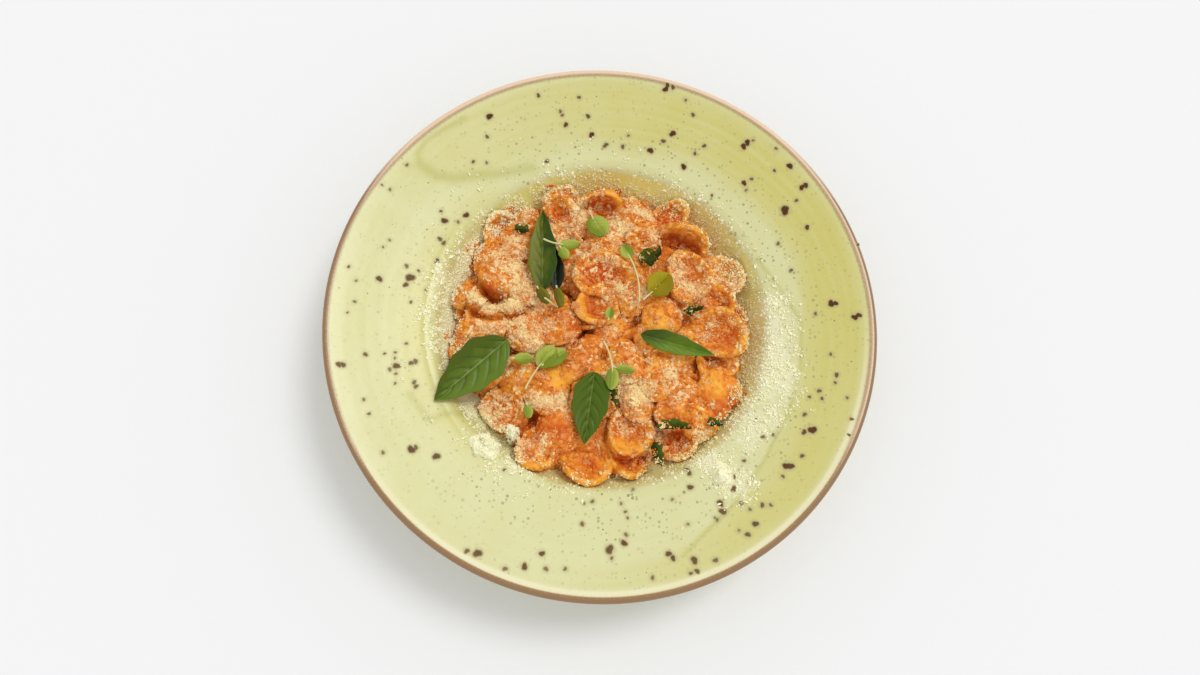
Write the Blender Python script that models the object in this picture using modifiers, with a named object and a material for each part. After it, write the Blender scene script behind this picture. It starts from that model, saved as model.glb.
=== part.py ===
"""Orecchiette in tomato sauce, heaped in the well of a speckled stoneware pasta plate with basil, cress and grated cheese."""

import math
from collections import namedtuple

import bmesh
import bpy
import numpy as np
from mathutils import Matrix, Vector

MM = 0.001
GAP = 0.3 * MM

# The plate: a wide rim round a deep well, on a turned foot.
RIM_RADIUS = 140 * MM
RIM_HEIGHT = 48 * MM
LIP_THICKNESS = 4.6 * MM
WELL_RADIUS = 86 * MM
WELL_EDGE_HEIGHT = 36 * MM
EDGE_ROUNDING = 1.6 * MM
FLOOR_RADIUS = 48 * MM
FLOOR_HEIGHT = 9.5 * MM
WALL_STEEPNESS = 2.2
WALL_REACH = 0.96
PLATE_THICKNESS = 4.8 * MM
FOOT_RADIUS = 57 * MM
FOOT_WIDTH = 5 * MM
FOOT_HEIGHT = 3.6 * MM
PLATE_STEPS = 52

# The pasta: a core that fills the well, and the pieces that lie on it.
CORE_TOP = 27.5 * MM
CORE_DROP = 8 * MM
CORE_ROUNDING = 2.6
CORE_RADIUS = 75.5 * MM
CORE_STEPS = 28
CUP_SIDES = 10
SHARP_ANGLE = math.radians(60)
# Rings of one piece from the middle of its hollow, over the rolled rim, to the middle of its back, as shares of its radius.
CUP_RING_RADII = (0.0, 0.50, 0.86, 1.0, 0.62, 0.0)
CUP_RING_HEIGHTS = (-0.12, -0.02, 0.28, 0.08, -0.27, -0.36)
CUP_RINGS = len(CUP_RING_RADII) - 1
# A piece with its back up has its hollow packed full, except near the wall of the well.
PACKED_HEIGHTS = (0.50, 0.46, 0.28, 0.08, -0.27, -0.36)
PACKED_WITHIN = 60 * MM
PRESSED_SHARE = 34
WALL_CLEARANCE = 0.6 * MM
# How wavy a piece is: its rim in plan with three and with two lobes, its rim in height, and its fold at most.
THREE_LOBES = 0.06
TWO_LOBES = 0.04
RIM_WAVE = 0.07
MOST_FOLD = 0.14

# The bed is the height of what lies in the plate so far, on a square grid.
BED_CELL = 1.5 * MM
BED_HALF = 66

SEED = 11

Pasta = namedtuple("Pasta", "x y across up lean towards stretch")
# Each piece that shows, lowest first: its place and width in millimetres, the side that is up, how far it leans
# from level and towards which bearing in degrees, and how much it is drawn out along that bearing.
PASTA = (
    Pasta(-70, 15, 19, "back", 25, 180, 0.1),
    Pasta(-61, -24, 24, "back", 12, 200, 0.1),
    Pasta(40, -11, 24, "back", 6, 0, 0.0),
    Pasta(60, -20, 22, "hollow", 20, 90, 0.0),
    Pasta(-6, -42, 24, "back", 5, 0, 0.1),
    Pasta(-9, -57, 22, "back", 8, 270, 0.0),
    Pasta(0, -28, 22, "back", 8, 60, 0.0),
    Pasta(27, -8, 22, "back", 8, 200, 0.0),
    Pasta(-30, -16, 22, "back", 8, 100, 0.0),
    Pasta(-44, 14, 22, "back", 8, 60, 0.0),
    Pasta(14, -68, 24, "hollow", 12, 80, 0.05),
    Pasta(-56, 55, 18, "hollow", 52, 315, -0.1),
    Pasta(-40, 57, 20, "back", 12, 110, 0.0),
    Pasta(-23, 62, 23, "hollow", 35, 230, 0.05),
    Pasta(-11, 60, 22, "back", 12, 100, 0.0),
    Pasta(-1, 68, 23, "hollow", 58, 270, -0.1),
    Pasta(17, 62, 25, "back", 12, 80, 0.1),
    Pasta(53, 38, 22, "back", 14, 40, 0.0),
    Pasta(38, 62, 22, "hollow", 28, 190, 0.05),
    Pasta(45, 48, 26, "hollow", 58, 250, -0.1),
    Pasta(34, 36, 22, "back", 10, 60, 0.0),
    Pasta(-28, 48, 24, "back", 8, 90, 0.1),
    Pasta(-30, 30, 24, "back", 6, 0, 0.05),
    Pasta(-14, 34, 22, "back", 10, 120, 0.0),
    Pasta(-45, 46, 23, "back", 10, 90, 0.05),
    Pasta(-58, 38, 23, "back", 14, 150, -0.06),
    Pasta(24, 50, 24, "back", 14, 60, 0.15),
    Pasta(20, 33, 22, "back", 6, 30, 0.0),
    Pasta(16, 16, 23, "back", 6, 200, 0.05),
    Pasta(62, 13, 21, "hollow", 26, 200, 0.0),
    Pasta(-32, 11, 25, "back", 8, 300, 0.15),
    Pasta(-59, 8, 28, "hollow", 14, 290, 0.1),
    Pasta(-50, 25, 28, "back", 10, 60, -0.1),
    Pasta(-71, -12, 17, "back", 26, 190, 0.1),
    Pasta(-63, -5, 25, "back", 12, 200, 0.1),
    Pasta(2, 45, 26, "back", 6, 60, 0.1),
    Pasta(0, 27, 29, "hollow", 10, 270, -0.15),
    Pasta(-38, -3, 26, "back", 8, 100, 0.05),
    Pasta(-21, 0, 24, "back", 8, 45, 0.05),
    Pasta(-3, 9, 24, "hollow", 15, 60, 0.05),
    Pasta(31, 4, 24, "back", 8, 80, 0.05),
    Pasta(61, -4, 30, "hollow", 14, 180, 0.06),
    Pasta(46, 27, 27, "hollow", 14, 300, 0.05),
    Pasta(12, -20, 24, "back", 8, 100, 0.05),
    Pasta(-12, -18, 25, "back", 18, 140, -0.25),
    Pasta(-44, -27, 24, "back", 12, 180, 0.1),
    Pasta(-28, -35, 27, "back", 8, 90, 0.1),
    Pasta(-22, -54, 26, "back", 6, 90, 0.1),
    Pasta(-50, -45, 24, "hollow", 15, 170, 0.05),
    Pasta(-33, -66, 22, "hollow", 16, 80, 0.05),
    Pasta(-8, -71, 28, "hollow", 16, 60, -0.08),
    Pasta(18, -38, 23, "back", 8, 90, 0.1),
    Pasta(14, -57, 26, "hollow", 18, 90, 0.05),
    Pasta(29, -28, 25, "back", 6, 90, 0.05),
    Pasta(38, -60, 23, "hollow", 20, 150, 0.1),
    Pasta(50, -52, 20, "back", 22, 300, 0.1),
    Pasta(40, -42, 27, "back", 8, 60, 0.1),
    Pasta(59, -36, 25, "back", 12, 350, -0.12),
)

Leaf = namedtuple("Leaf", "name x y bearing length width stem bend crease across along")
# Leaves in the order they were laid: the stalk end, the way it points and how far it bends on the way in degrees,
# its length with the stem and its width in millimetres, how much of it is bare stem, how deep the midrib is folded,
# and the faces across and along it. Leaves of one name grow from one sprig.
LEAVES = (
    Leaf("wilted_basil_1", -47, 51, 0, 9, 6, 0, 0, 0.8, 3, 4),
    Leaf("wilted_basil_2", 20, 34, 20, 13, 10, 0, 20, 1.2, 4, 4),
    Leaf("wilted_basil_3", 43, 7, 8, 11, 5, 0, 10, 0.8, 3, 4),
    Leaf("wilted_basil_4", 5, -33, 275, 11, 5, 0, 10, 0.8, 3, 4),
    Leaf("wilted_basil_5", 28, -54, 8, 17, 6, 0, -26, 0.8, 3, 5),
    Leaf("wilted_basil_6", 53, -52, 350, 8, 5, 0, 10, 0.8, 3, 4),
    Leaf("wilted_basil_7", 27, -62, 275, 13, 6, 0, 10, 0.8, 3, 4),
    Leaf("basil_leaf_dark", -24, 17, 92, 24, 9, 0, 0, 0.9, 4, 6),
    Leaf("basil_leaf_folded", -31, 16, 91, 45, 15, 0, 0, 2.4, 6, 8),
    Leaf("basil_leaf_left", -49, -11, 223, 47, 25, 0, 0, 1.2, 6, 8),
    Leaf("basil_leaf_right", 20, -7, 345, 39, 13, 0, 0, 1.2, 6, 8),
    Leaf("basil_leaf_front", -4, -27, 262, 37, 19, 0, 0, 1.4, 6, 8),
    Leaf("cress_sprig_1", -7, 63, 292, 17, 12, 4, 16, 0.5, 4, 6),
    Leaf("cress_sprig_2", -31, 43, 330, 19, 6, 9, 50, 0.5, 2, 8),
    Leaf("cress_sprig_2", -22.5, 39, 300, 8, 6, 1, 0, 0.4, 2, 4),
    Leaf("cress_sprig_3", -34, 17, 305, 11, 6, 1, 0, 0.8, 2, 5),
    Leaf("cress_sprig_4", -24, 17, 284, 12, 5, 1, 0, 0.8, 2, 5),
    Leaf("cress_sprig_5", 19, 10, 84, 32, 7, 24, 44, 0.5, 2, 10),
    Leaf("cress_sprig_6", 21, 11, 42, 20, 14, 5, 6, 0.6, 4, 6),
    Leaf("cress_sprig_7", -39, -36, 66, 26, 11, 13, -24, 0.5, 2, 8),
    Leaf("cress_sprig_7", -31, -24, 32, 15, 9, 1, 0, 0.5, 2, 4),
    Leaf("cress_sprig_8", 0.5, -11, 300, 26, 7, 15, -45, 0.5, 2, 8),
    Leaf("cress_sprig_8", 4.4, -24.5, 345, 12, 5, 2, 8, 0.4, 2, 4),
    Leaf("cress_sprig_9", -46, -21, 0, 11, 6, 1, 0, 0.4, 2, 4),
    Leaf("cress_sprig_10", -38, -43, 280, 8, 5, 1, 0, 0.4, 2, 4),
    Leaf("cress_sprig_11", 3, 0, 80, 7, 5, 1, 0, 0.4, 2, 4),
)
LEAF_THICKNESS = 0.6 * MM
STEM_WIDTH = 0.9
LEAF_LIFT = 2.5 * GAP
DRAPE_PASSES = 60
DRAPE_SAG = 0.02 * MM
DRAPE_REACH = 2

Clump = namedtuple("Clump", "x y across height")
# Lumps of grated cheese, in millimetres: on the rim by the edge of the well, and between two pieces of pasta.
CLUMPS = (
    Clump(-58, -65, 14, 4),
    Clump(58, -78, 10, 3),
    Clump(-45, -58, 8, 3.5),
)


def new_material(name, colour, roughness):
    """A plain material of that colour, given as red, green and blue shares of light."""
    material = bpy.data.materials.new(name)
    material.use_nodes = True
    shader = material.node_tree.nodes["Principled BSDF"]
    shader.inputs["Base Color"].default_value = (*colour, 1.0)
    shader.inputs["Roughness"].default_value = roughness
    shader.inputs["Metallic"].default_value = 0.0
    return material


def new_object(name, mesh, material, collection):
    piece = bpy.data.objects.new(name, mesh)
    piece.data.materials.append(material)
    collection.objects.link(piece)
    return piece


def bezier(start, corner, end, count):
    """Points on a quadratic curve that leaves start and reaches end along the lines through the corner."""
    share = np.linspace(0, 1, count)[:, None]
    start, corner, end = np.array(start), np.array(corner), np.array(end)
    return (1 - share) ** 2 * start + 2 * share * (1 - share) * corner + share**2 * end


def plate_height(radius):
    """Height of the glazed upper side at that distance from the middle: a flat floor, a wall that steepens, then the rim."""
    radius = np.asarray(radius, float)
    share = np.clip((radius - FLOOR_RADIUS) / (WELL_RADIUS - FLOOR_RADIUS), 0, 1) * WALL_REACH
    rise = 1 - (1 - share**WALL_STEEPNESS) ** (1 / WALL_STEEPNESS)
    full = 1 - (1 - WALL_REACH**WALL_STEEPNESS) ** (1 / WALL_STEEPNESS)
    wall = FLOOR_HEIGHT + (WELL_EDGE_HEIGHT - FLOOR_HEIGHT) * rise / full
    rim_slope = (RIM_HEIGHT - WELL_EDGE_HEIGHT) / (RIM_RADIUS - WELL_RADIUS)
    rim = WELL_EDGE_HEIGHT + rim_slope * (radius - WELL_RADIUS)
    return np.where(radius < WELL_RADIUS, wall, rim)


def plate_profile():
    """Half section of the plate: out across the well, over the lip, and down the underside to the middle."""
    edge = WELL_RADIUS - EDGE_ROUNDING
    well = [(r, plate_height(r)) for r in edge * np.sin(np.linspace(0, math.pi / 2, 9)[:-1])]
    rounding = bezier(
        (edge, plate_height(edge)),
        (WELL_RADIUS, WELL_EDGE_HEIGHT),
        (WELL_RADIUS + 2 * EDGE_ROUNDING, plate_height(WELL_RADIUS + 2 * EDGE_ROUNDING)),
        3,
    )
    half_lip = LIP_THICKNESS / 2
    lip_middle = Vector((RIM_RADIUS - half_lip, RIM_HEIGHT - half_lip))
    slope = math.atan2(RIM_HEIGHT - WELL_EDGE_HEIGHT, RIM_RADIUS - WELL_RADIUS)
    turns = np.linspace(math.pi / 2 + slope, slope - math.pi / 2, 6)
    lip = [(lip_middle.x + half_lip * math.cos(a), lip_middle.y + half_lip * math.sin(a)) for a in turns]
    under_edge = WELL_RADIUS + 0.6 * PLATE_THICKNESS
    under_height = WELL_EDGE_HEIGHT - 0.8 * PLATE_THICKNESS
    corner = bezier(
        (under_edge + 4 * MM, under_height + 0.4 * MM),
        (under_edge, under_height - 0.4 * MM),
        (under_edge - 0.6 * MM, under_height - 4 * MM),
        3,
    )
    wall = bezier(corner[-1], (WELL_RADIUS - 3 * MM, FOOT_HEIGHT + 4 * MM), (FOOT_RADIUS, FOOT_HEIGHT + 1 * MM), 5)
    foot = [
        (FOOT_RADIUS - 0.4 * MM, 0.5 * MM),
        (FOOT_RADIUS - 1 * MM, 0.0),
        (FOOT_RADIUS - FOOT_WIDTH + 1 * MM, 0.0),
        (FOOT_RADIUS - FOOT_WIDTH, 0.8 * MM),
        (FOOT_RADIUS - FOOT_WIDTH - 1.5 * MM, FOOT_HEIGHT),
        (0.0, FOOT_HEIGHT + 0.6 * MM),
    ]
    return [*well, *rounding, *lip, *corner, *wall[1:], *foot]


def turned(name, profile, steps, material, collection):
    """A solid of revolution about Z."""
    mesh = bpy.data.meshes.new(name)
    points = [(float(r), 0.0, float(z)) for r, z in profile]
    mesh.from_pydata(points, [(i, i + 1) for i in range(len(points) - 1)], [])
    piece = new_object(name, mesh, material, collection)
    screw = piece.modifiers.new("turn", "SCREW")
    screw.steps = steps
    screw.render_steps = steps
    screw.use_smooth_shade = True
    screw.use_merge_vertices = True
    screw.merge_threshold = 0.00001
    return piece


def core_height(radius):
    return CORE_TOP - CORE_DROP * (np.asarray(radius) / CORE_RADIUS) ** CORE_ROUNDING


def core_profile():
    """Half section of the packed pasta under the pieces that show: over its top, then down and in along the well."""
    top = [(r, core_height(r)) for r in CORE_RADIUS * np.array([0, 0.4, 0.7, 0.9, 1])]
    edge = WELL_RADIUS - EDGE_ROUNDING
    radii = edge * np.sin(np.linspace(0, math.pi / 2, 9)[:-1])
    under = [(r, plate_height(r) + 2 * GAP) for r in radii[::-1] if r < CORE_RADIUS - 3 * MM]
    return [*top, (CORE_RADIUS, plate_height(CORE_RADIUS) + 4 * GAP), *under]


def turn_of(pasta):
    """Turns a level piece with its hollow up into the way it lies."""
    flip = Matrix.Rotation(math.pi if pasta.up == "back" else 0.0, 3, "X")
    lean = Matrix.Rotation(math.radians(pasta.lean), 3, "Y")
    towards = Matrix.Rotation(math.radians(pasta.towards), 3, "Z")
    return np.array(towards @ lean @ flip)


def pasta_surface(pasta, ways, around, along, ring_heights=CUP_RING_HEIGHTS):
    """Points of one piece about its own middle, as it lies. Along counts the rings and may be a fraction."""
    half = pasta.across / 2 * MM
    lobes = 1 + THREE_LOBES * np.cos(3 * around + ways[0]) + TWO_LOBES * np.cos(2 * around + ways[1])
    share = np.interp(along, range(CUP_RINGS + 1), CUP_RING_RADII) * lobes
    x = half * share * np.cos(around) * (1 + pasta.stretch)
    y = half * share * np.sin(around) * (1 - pasta.stretch)
    height = half * np.interp(along, range(CUP_RINGS + 1), ring_heights)
    wave = RIM_WAVE * half * np.cos(2 * around + ways[2]) * share**2
    fold = ways[4] * half * (share * np.cos(around + ways[3])) ** 2
    return np.stack([x, y, height + wave + fold], -1) @ turn_of(pasta).T


def bed_cells(points):
    cells = np.round(points[..., :2] / BED_CELL).astype(int) + BED_HALF
    return np.clip(cells, 0, 2 * BED_HALF)


def new_bed():
    """The bare plate and the core as heights on the grid."""
    steps = np.arange(-BED_HALF, BED_HALF + 1) * BED_CELL
    radius = np.hypot(*np.meshgrid(steps, steps, indexing="ij"))
    return np.where(radius < CORE_RADIUS, np.maximum(core_height(radius), plate_height(radius)), plate_height(radius))


def settle(pasta, ways, bed):
    """The height at which a piece comes to rest, pressed into those below it. Its upper side is then added to the bed."""
    around, along = np.meshgrid(np.linspace(0, 2 * math.pi, 32, endpoint=False), np.linspace(0, CUP_RINGS, 21))
    points = pasta_surface(pasta, ways, around.ravel(), along.ravel())
    points[:, :2] += np.array([pasta.x, pasta.y]) * MM
    cells = bed_cells(points)
    flat = cells[:, 0] * (2 * BED_HALF + 1) + cells[:, 1]
    below = np.full(bed.size, np.inf)
    np.minimum.at(below, flat, points[:, 2])
    under = np.isfinite(below)
    rest = np.percentile((bed.ravel() - below)[under], 100 - PRESSED_SHARE)
    clear = plate_height(np.hypot(points[:, 0], points[:, 1])) + WALL_CLEARANCE - points[:, 2]
    height = max(rest, clear.max())
    top = np.full(bed.size, -np.inf)
    np.maximum.at(top, flat, points[:, 2] + height)
    np.maximum(bed, top.reshape(bed.shape), out=bed)
    return height


def pasta_mesh(pasta, ways, height):
    """A ball drawn into the rings of one piece."""
    packed = pasta.up == "back" and math.hypot(pasta.x, pasta.y) * MM < PACKED_WITHIN
    ring_heights = PACKED_HEIGHTS if packed else CUP_RING_HEIGHTS
    shape = bmesh.new()
    bmesh.ops.create_uvsphere(shape, u_segments=CUP_SIDES, v_segments=CUP_RINGS, radius=1.0)
    for vertex in shape.verts:
        around = math.atan2(vertex.co.y, vertex.co.x)
        along = round(math.acos(max(-1.0, min(1.0, vertex.co.z))) / (math.pi / CUP_RINGS))
        place = pasta_surface(pasta, ways, np.array([around]), np.array([along]), ring_heights)[0]
        vertex.co = Vector(place) + Vector((pasta.x * MM, pasta.y * MM, height))
    bmesh.ops.triangulate(shape, faces=shape.faces)
    mesh = bpy.data.meshes.new("piece")
    shape.to_mesh(mesh)
    shape.free()
    return mesh


def islands_of(shape):
    """The separate bodies in a mesh, each as its faces."""
    left = set(shape.faces)
    while left:
        body, ahead = set(), [left.pop()]
        while ahead:
            face = ahead.pop()
            body.add(face)
            for edge in face.edges:
                for beside in edge.link_faces:
                    if beside in left:
                        left.remove(beside)
                        ahead.append(beside)
        yield body


def signed_volume(faces):
    total = 0.0
    for face in faces:
        first, *others = [vertex.co for vertex in face.verts]
        total += sum(first.dot(a.cross(b)) for a, b in zip(others, others[1:])) / 6
    return total


def keep_main_body(mesh):
    """Fills sealed hollows and drops loose scraps, so that one closed body is left."""
    shape = bmesh.new()
    shape.from_mesh(mesh)
    bodies = sorted(islands_of(shape), key=signed_volume)
    spare = [face for body in bodies[:-1] for face in body]
    bmesh.ops.delete(shape, geom=spare, context="FACES")
    bmesh.ops.dissolve_limit(shape, angle_limit=math.radians(2), verts=shape.verts, edges=shape.edges)
    bmesh.ops.triangulate(shape, faces=shape.faces)
    shape.to_mesh(mesh)
    shape.free()


def fuse(piece, others):
    """Joins every object of a collection to the piece, then removes them."""
    union = piece.modifiers.new("union", "BOOLEAN")
    union.operation = "UNION"
    union.operand_type = "COLLECTION"
    union.collection = others
    union.solver = "MANIFOLD"
    graph = bpy.context.evaluated_depsgraph_get()
    mesh = bpy.data.meshes.new_from_object(piece.evaluated_get(graph))
    piece.modifiers.clear()
    piece.data = mesh
    for other in list(others.objects):
        bpy.data.objects.remove(other)
    bpy.data.collections.remove(others)


def make_heap(material, collection, bed):
    """The core with the pieces that show fused on."""
    core = turned("orecchiette", core_profile(), CORE_STEPS, material, collection)
    pieces = bpy.data.collections.new("pasta pieces")
    bpy.context.scene.collection.children.link(pieces)
    draw = np.random.default_rng(SEED)
    for pasta in PASTA:
        ways = [*draw.uniform(0, 2 * math.pi, 4), draw.uniform(0.0, MOST_FOLD)]
        height = settle(pasta, ways, bed)
        new_object("piece", pasta_mesh(pasta, ways, height), material, pieces)
    fuse(core, pieces)
    keep_main_body(core.data)
    core.data.shade_smooth()
    core.data.set_sharp_from_angle(angle=SHARP_ANGLE)
    return core


def leaf_outline(leaf, along):
    """Half the width of a leaf at a share of its length, the stem first."""
    stem_share = leaf.stem / leaf.length
    blade = max(along - stem_share, 0) / (1 - stem_share)
    fullness, fattest = (0.5, 1.0) if leaf.name.startswith("cress") else (0.75, 0.8)
    oval = math.sin(math.pi * blade**fattest) ** fullness if 0 < blade < 1 else 0.0
    return max(leaf.width * oval, STEM_WIDTH) / 2 * MM


def leaf_mesh(leaf, bed, stalk=None):
    """A blade with a folded midrib, draped over what lies below it. A side blade leaves the stalk at the stalk's height."""
    shape = bmesh.new()
    bmesh.ops.create_grid(shape, x_segments=leaf.along, y_segments=leaf.across, size=1.0)
    for vertex in shape.verts:
        along = (vertex.co.x + 1) / 2
        side = vertex.co.y * leaf_outline(leaf, along)
        turn = math.radians(leaf.bearing + leaf.bend * along)
        chord = math.radians(leaf.bearing + leaf.bend * along / 2)
        ahead = along * leaf.length * MM
        crease = leaf.crease * MM * abs(vertex.co.y) * min(1.0, side / vertex.co.y / (2 * MM)) if vertex.co.y else 0.0
        vertex.co = (
            leaf.x * MM + ahead * math.cos(chord) - side * math.sin(turn),
            leaf.y * MM + ahead * math.sin(chord) + side * math.cos(turn),
            crease,
        )
    bmesh.ops.triangulate(shape, faces=shape.faces)
    held = {}
    if stalk:
        root = Vector((leaf.x, leaf.y)) * MM
        joint = min(stalk.vertices, key=lambda v: (v.co.xy - root).length)
        held = {v: joint.co.z for v in shape.verts if (v.co.xy - root).length < STEM_WIDTH * MM}
    drape(shape, bed, held)
    mesh = bpy.data.meshes.new(leaf.name)
    shape.to_mesh(mesh)
    shape.free()
    return mesh


def bed_under(bed, x, y, reach):
    """The highest point of the bed within reach of a place, counted in cells."""
    i, j = bed_cells(np.array([x, y]))
    return bed[max(i - reach, 0) : i + reach + 1, max(j - reach, 0) : j + reach + 1].max()


def drape(shape, bed, held):
    """Lets a sheet sink onto the bed: each point stays above what is under it and near the mean of its neighbours."""
    lift = LEAF_THICKNESS / 2 + LEAF_LIFT
    floor = {v: bed_under(bed, v.co.x, v.co.y, DRAPE_REACH) + lift for v in shape.verts}
    height = {**floor, **held}
    for _ in range(DRAPE_PASSES):
        for vertex in shape.verts:
            if vertex in held:
                continue
            beside = [edge.other_vert(vertex) for edge in vertex.link_edges]
            mean = sum(height[other] for other in beside) / len(beside)
            height[vertex] = max(floor[vertex], mean - DRAPE_SAG)
    for vertex in shape.verts:
        vertex.co.z += height[vertex]


def cover_bed(piece, bed):
    """Adds the upper side of a laid piece to the bed, with points spread over its faces."""
    spread = [(a / 6, b / 6) for a in range(7) for b in range(7 - a)]
    for face in piece.data.polygons:
        corners = [np.array(piece.data.vertices[i].co) for i in face.vertices]
        for a, b in spread:
            point = corners[0] + a * (corners[1] - corners[0]) + b * (corners[2] - corners[0])
            i, j = bed_cells(point)
            bed[i, j] = max(bed[i, j], point[2] + LEAF_THICKNESS / 2)


def leaf_solid(leaf, material, collection, bed, stalk=None):
    piece = new_object(leaf.name, leaf_mesh(leaf, bed, stalk), material, collection)
    piece.location.z = LEAF_THICKNESS / 4 if stalk else 0.0
    solid = piece.modifiers.new("thickness", "SOLIDIFY")
    solid.thickness = LEAF_THICKNESS
    solid.offset = 0
    return piece


def make_leaves(materials, collection, bed):
    """Every leaf and sprig. The blades of one sprig are fused where they meet at the stem."""
    for name in dict.fromkeys(leaf.name for leaf in LEAVES):
        material = materials[name.split("_")[0]]
        blades = [leaf for leaf in LEAVES if leaf.name == name]
        piece = leaf_solid(blades[0], material, collection, bed)
        others = bpy.data.collections.new("blades")
        bpy.context.scene.collection.children.link(others)
        twins = [leaf_solid(leaf, material, others, bed, piece.data) for leaf in blades[1:]]
        for laid in [piece, *twins]:
            cover_bed(laid, bed)
        if twins:
            fuse(piece, others)
            keep_main_body(piece.data)
        else:
            bpy.data.collections.remove(others)


def make_clump(number, clump, material, collection, bed):
    """A lump of loose gratings, flat where it lies on what is under it."""
    shape = bmesh.new()
    bmesh.ops.create_icosphere(shape, subdivisions=2, radius=1.0)
    for vertex in shape.verts:
        side = vertex.co.copy()
        lumps = 1 + 0.14 * math.sin(5 * side.x + 2 * number) * math.sin(4 * side.y + 1 + number)
        x = clump.x * MM + side.x * clump.across / 2 * lumps * MM
        y = clump.y * MM + side.y * clump.across / 2 * lumps * MM
        ground = bed_under(bed, x, y, DRAPE_REACH) + LEAF_LIFT
        vertex.co = (x, y, ground + max(side.z, 0.0) * clump.height * lumps * MM)
    bmesh.ops.triangulate(shape, faces=shape.faces)
    mesh = bpy.data.meshes.new("clump")
    shape.to_mesh(mesh)
    shape.free()
    return new_object(f"cheese_clump_{number}", mesh, material, collection)


def clear_scene():
    for piece in list(bpy.data.objects):
        bpy.data.objects.remove(piece)


def build():
    clear_scene()
    dish = bpy.data.collections.new("plated orecchiette")
    bpy.context.scene.collection.children.link(dish)
    glaze = new_material("speckled glaze", (0.72, 0.70, 0.40), 0.25)
    pasta = new_material("sauced pasta", (0.80, 0.30, 0.08), 0.35)
    cheese = new_material("grated cheese", (0.86, 0.80, 0.58), 0.7)
    greens = {
        "basil": new_material("basil", (0.07, 0.16, 0.02), 0.4),
        "wilted": new_material("wilted basil", (0.02, 0.04, 0.01), 0.45),
        "cress": new_material("cress", (0.28, 0.38, 0.08), 0.45),
    }
    turned("plate", plate_profile(), PLATE_STEPS, glaze, dish)
    bed = new_bed()
    make_heap(pasta, dish, bed)
    for number, clump in enumerate(CLUMPS, 1):
        make_clump(number, clump, cheese, dish, bed)
    make_leaves(greens, dish, bed)


build()
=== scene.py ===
import math
from collections import namedtuple
from functools import partial

import bpy
import numpy as np
from mathutils import Matrix, Vector
from mathutils.bvhtree import BVHTree


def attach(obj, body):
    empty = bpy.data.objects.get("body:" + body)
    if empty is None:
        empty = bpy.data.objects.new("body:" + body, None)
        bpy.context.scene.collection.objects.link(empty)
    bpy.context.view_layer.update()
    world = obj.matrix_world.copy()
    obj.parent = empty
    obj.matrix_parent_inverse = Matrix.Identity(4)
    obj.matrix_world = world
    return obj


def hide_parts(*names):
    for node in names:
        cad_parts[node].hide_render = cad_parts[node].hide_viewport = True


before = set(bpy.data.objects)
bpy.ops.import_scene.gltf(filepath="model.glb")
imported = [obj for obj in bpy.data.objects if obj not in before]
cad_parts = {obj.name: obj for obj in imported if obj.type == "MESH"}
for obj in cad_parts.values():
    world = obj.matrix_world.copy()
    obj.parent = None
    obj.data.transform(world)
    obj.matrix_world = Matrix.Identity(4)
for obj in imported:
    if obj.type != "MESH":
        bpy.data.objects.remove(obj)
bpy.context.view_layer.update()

# Plate: a pasta plate turned in stoneware, with a wide rim round a deep well and a foot ring underneath. It
# is dipped in a pale ash glaze, and a second, more olive coat is brushed on as it turns on the wheel. The
# glaze runs thin over the lip, where the tan clay shows.
MM = 0.001
RIM_RADIUS = 139.98 * MM
RIM_HEIGHT = 47.86 * MM
LIP_THICKNESS = 4.6 * MM
WELL_RADIUS = 86 * MM
WELL_EDGE_HEIGHT = 36 * MM
EDGE_ROUNDING = 1.6 * MM
FLOOR_RADIUS = 48 * MM
FLOOR_HEIGHT = 9.5 * MM
WALL_STEEPNESS = 2.2
WALL_REACH = 0.96
PLATE_THICKNESS = 4.8 * MM
FOOT_RADIUS = 57 * MM
FOOT_WIDTH = 5 * MM
FOOT_HEIGHT = 3.6 * MM
PLATE_SIDES = 512
# How far the outer rim sags, how high the bead round the well stands, and the marks of turning on the rim.
RIM_SAG = 0.30 * MM
WELL_BEAD = 0.25 * MM
TURNING_DEPTH = 0.009 * MM
TURNING_PITCH = 1.1 * MM
STREAK_SEED = 3

PALE_GLAZE = "#DBD9A2"
OLIVE_GLAZE = "#CEC66E"
POOLED_GLAZE_AND_WARM_LIGHT = "#F0EA84"
BEAD_AND_HIGHLIGHT_GLAZE = "#EEE7C0"
LEFT_WALL_LIGHT_GLAZE = "#F4F4C8"
BRUSH_GREEN = "#B5B258"
IRON_BROWN = "#4A3222"
IRON_BLEED = "#A99C70"
FLECK_GREY = "#8E8E5E"
LIP_CLAY = "#EBCEAC"
LIP_DARK = "#8E6A40"
FOOT_CLAY = "#C9A98A"
FINE_CHEESE = "#F3F0D2"

# Where the olive coat lies: bearing in degrees, its inner edge and how softly that ends in millimetres, and
# how thick it is. The rows at the left are painted shade, darkening the rim there.
OLIVE_COAT = (
    (-180, 92, 8.0, 0.2), (-150, 98, 8.0, 0.12), (-104, 124, 6.0, 0.05), (-84, 122, 3.0, 0.3),
    (-78, 121, 2.0, 0.4), (-72, 119, 1.5, 0.55), (-65, 116, 1.2, 0.68), (-57, 112, 1.2, 0.76),
    (-43, 107, 1.2, 0.82), (-26, 104, 1.5, 0.88), (-4, 102, 2.0, 1.0), (18, 104, 4.0, 1.0),
    (30, 103, 5.0, 1.0), (40, 103, 6.0, 0.94), (60, 100, 8.0, 0.86), (72, 96, 7.0, 0.82), (80, 94, 6.0, 0.78),
    (91, 98, 6.0, 0.66), (105, 97, 5.0, 0.56), (123, 97, 4.0, 0.46), (135, 104, 4.0, 0.38),
    (142, 110, 4.0, 0.3), (150, 112, 5.0, 0.18), (165, 100, 7.0, 0.16), (180, 92, 8.0, 0.2),
)
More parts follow.
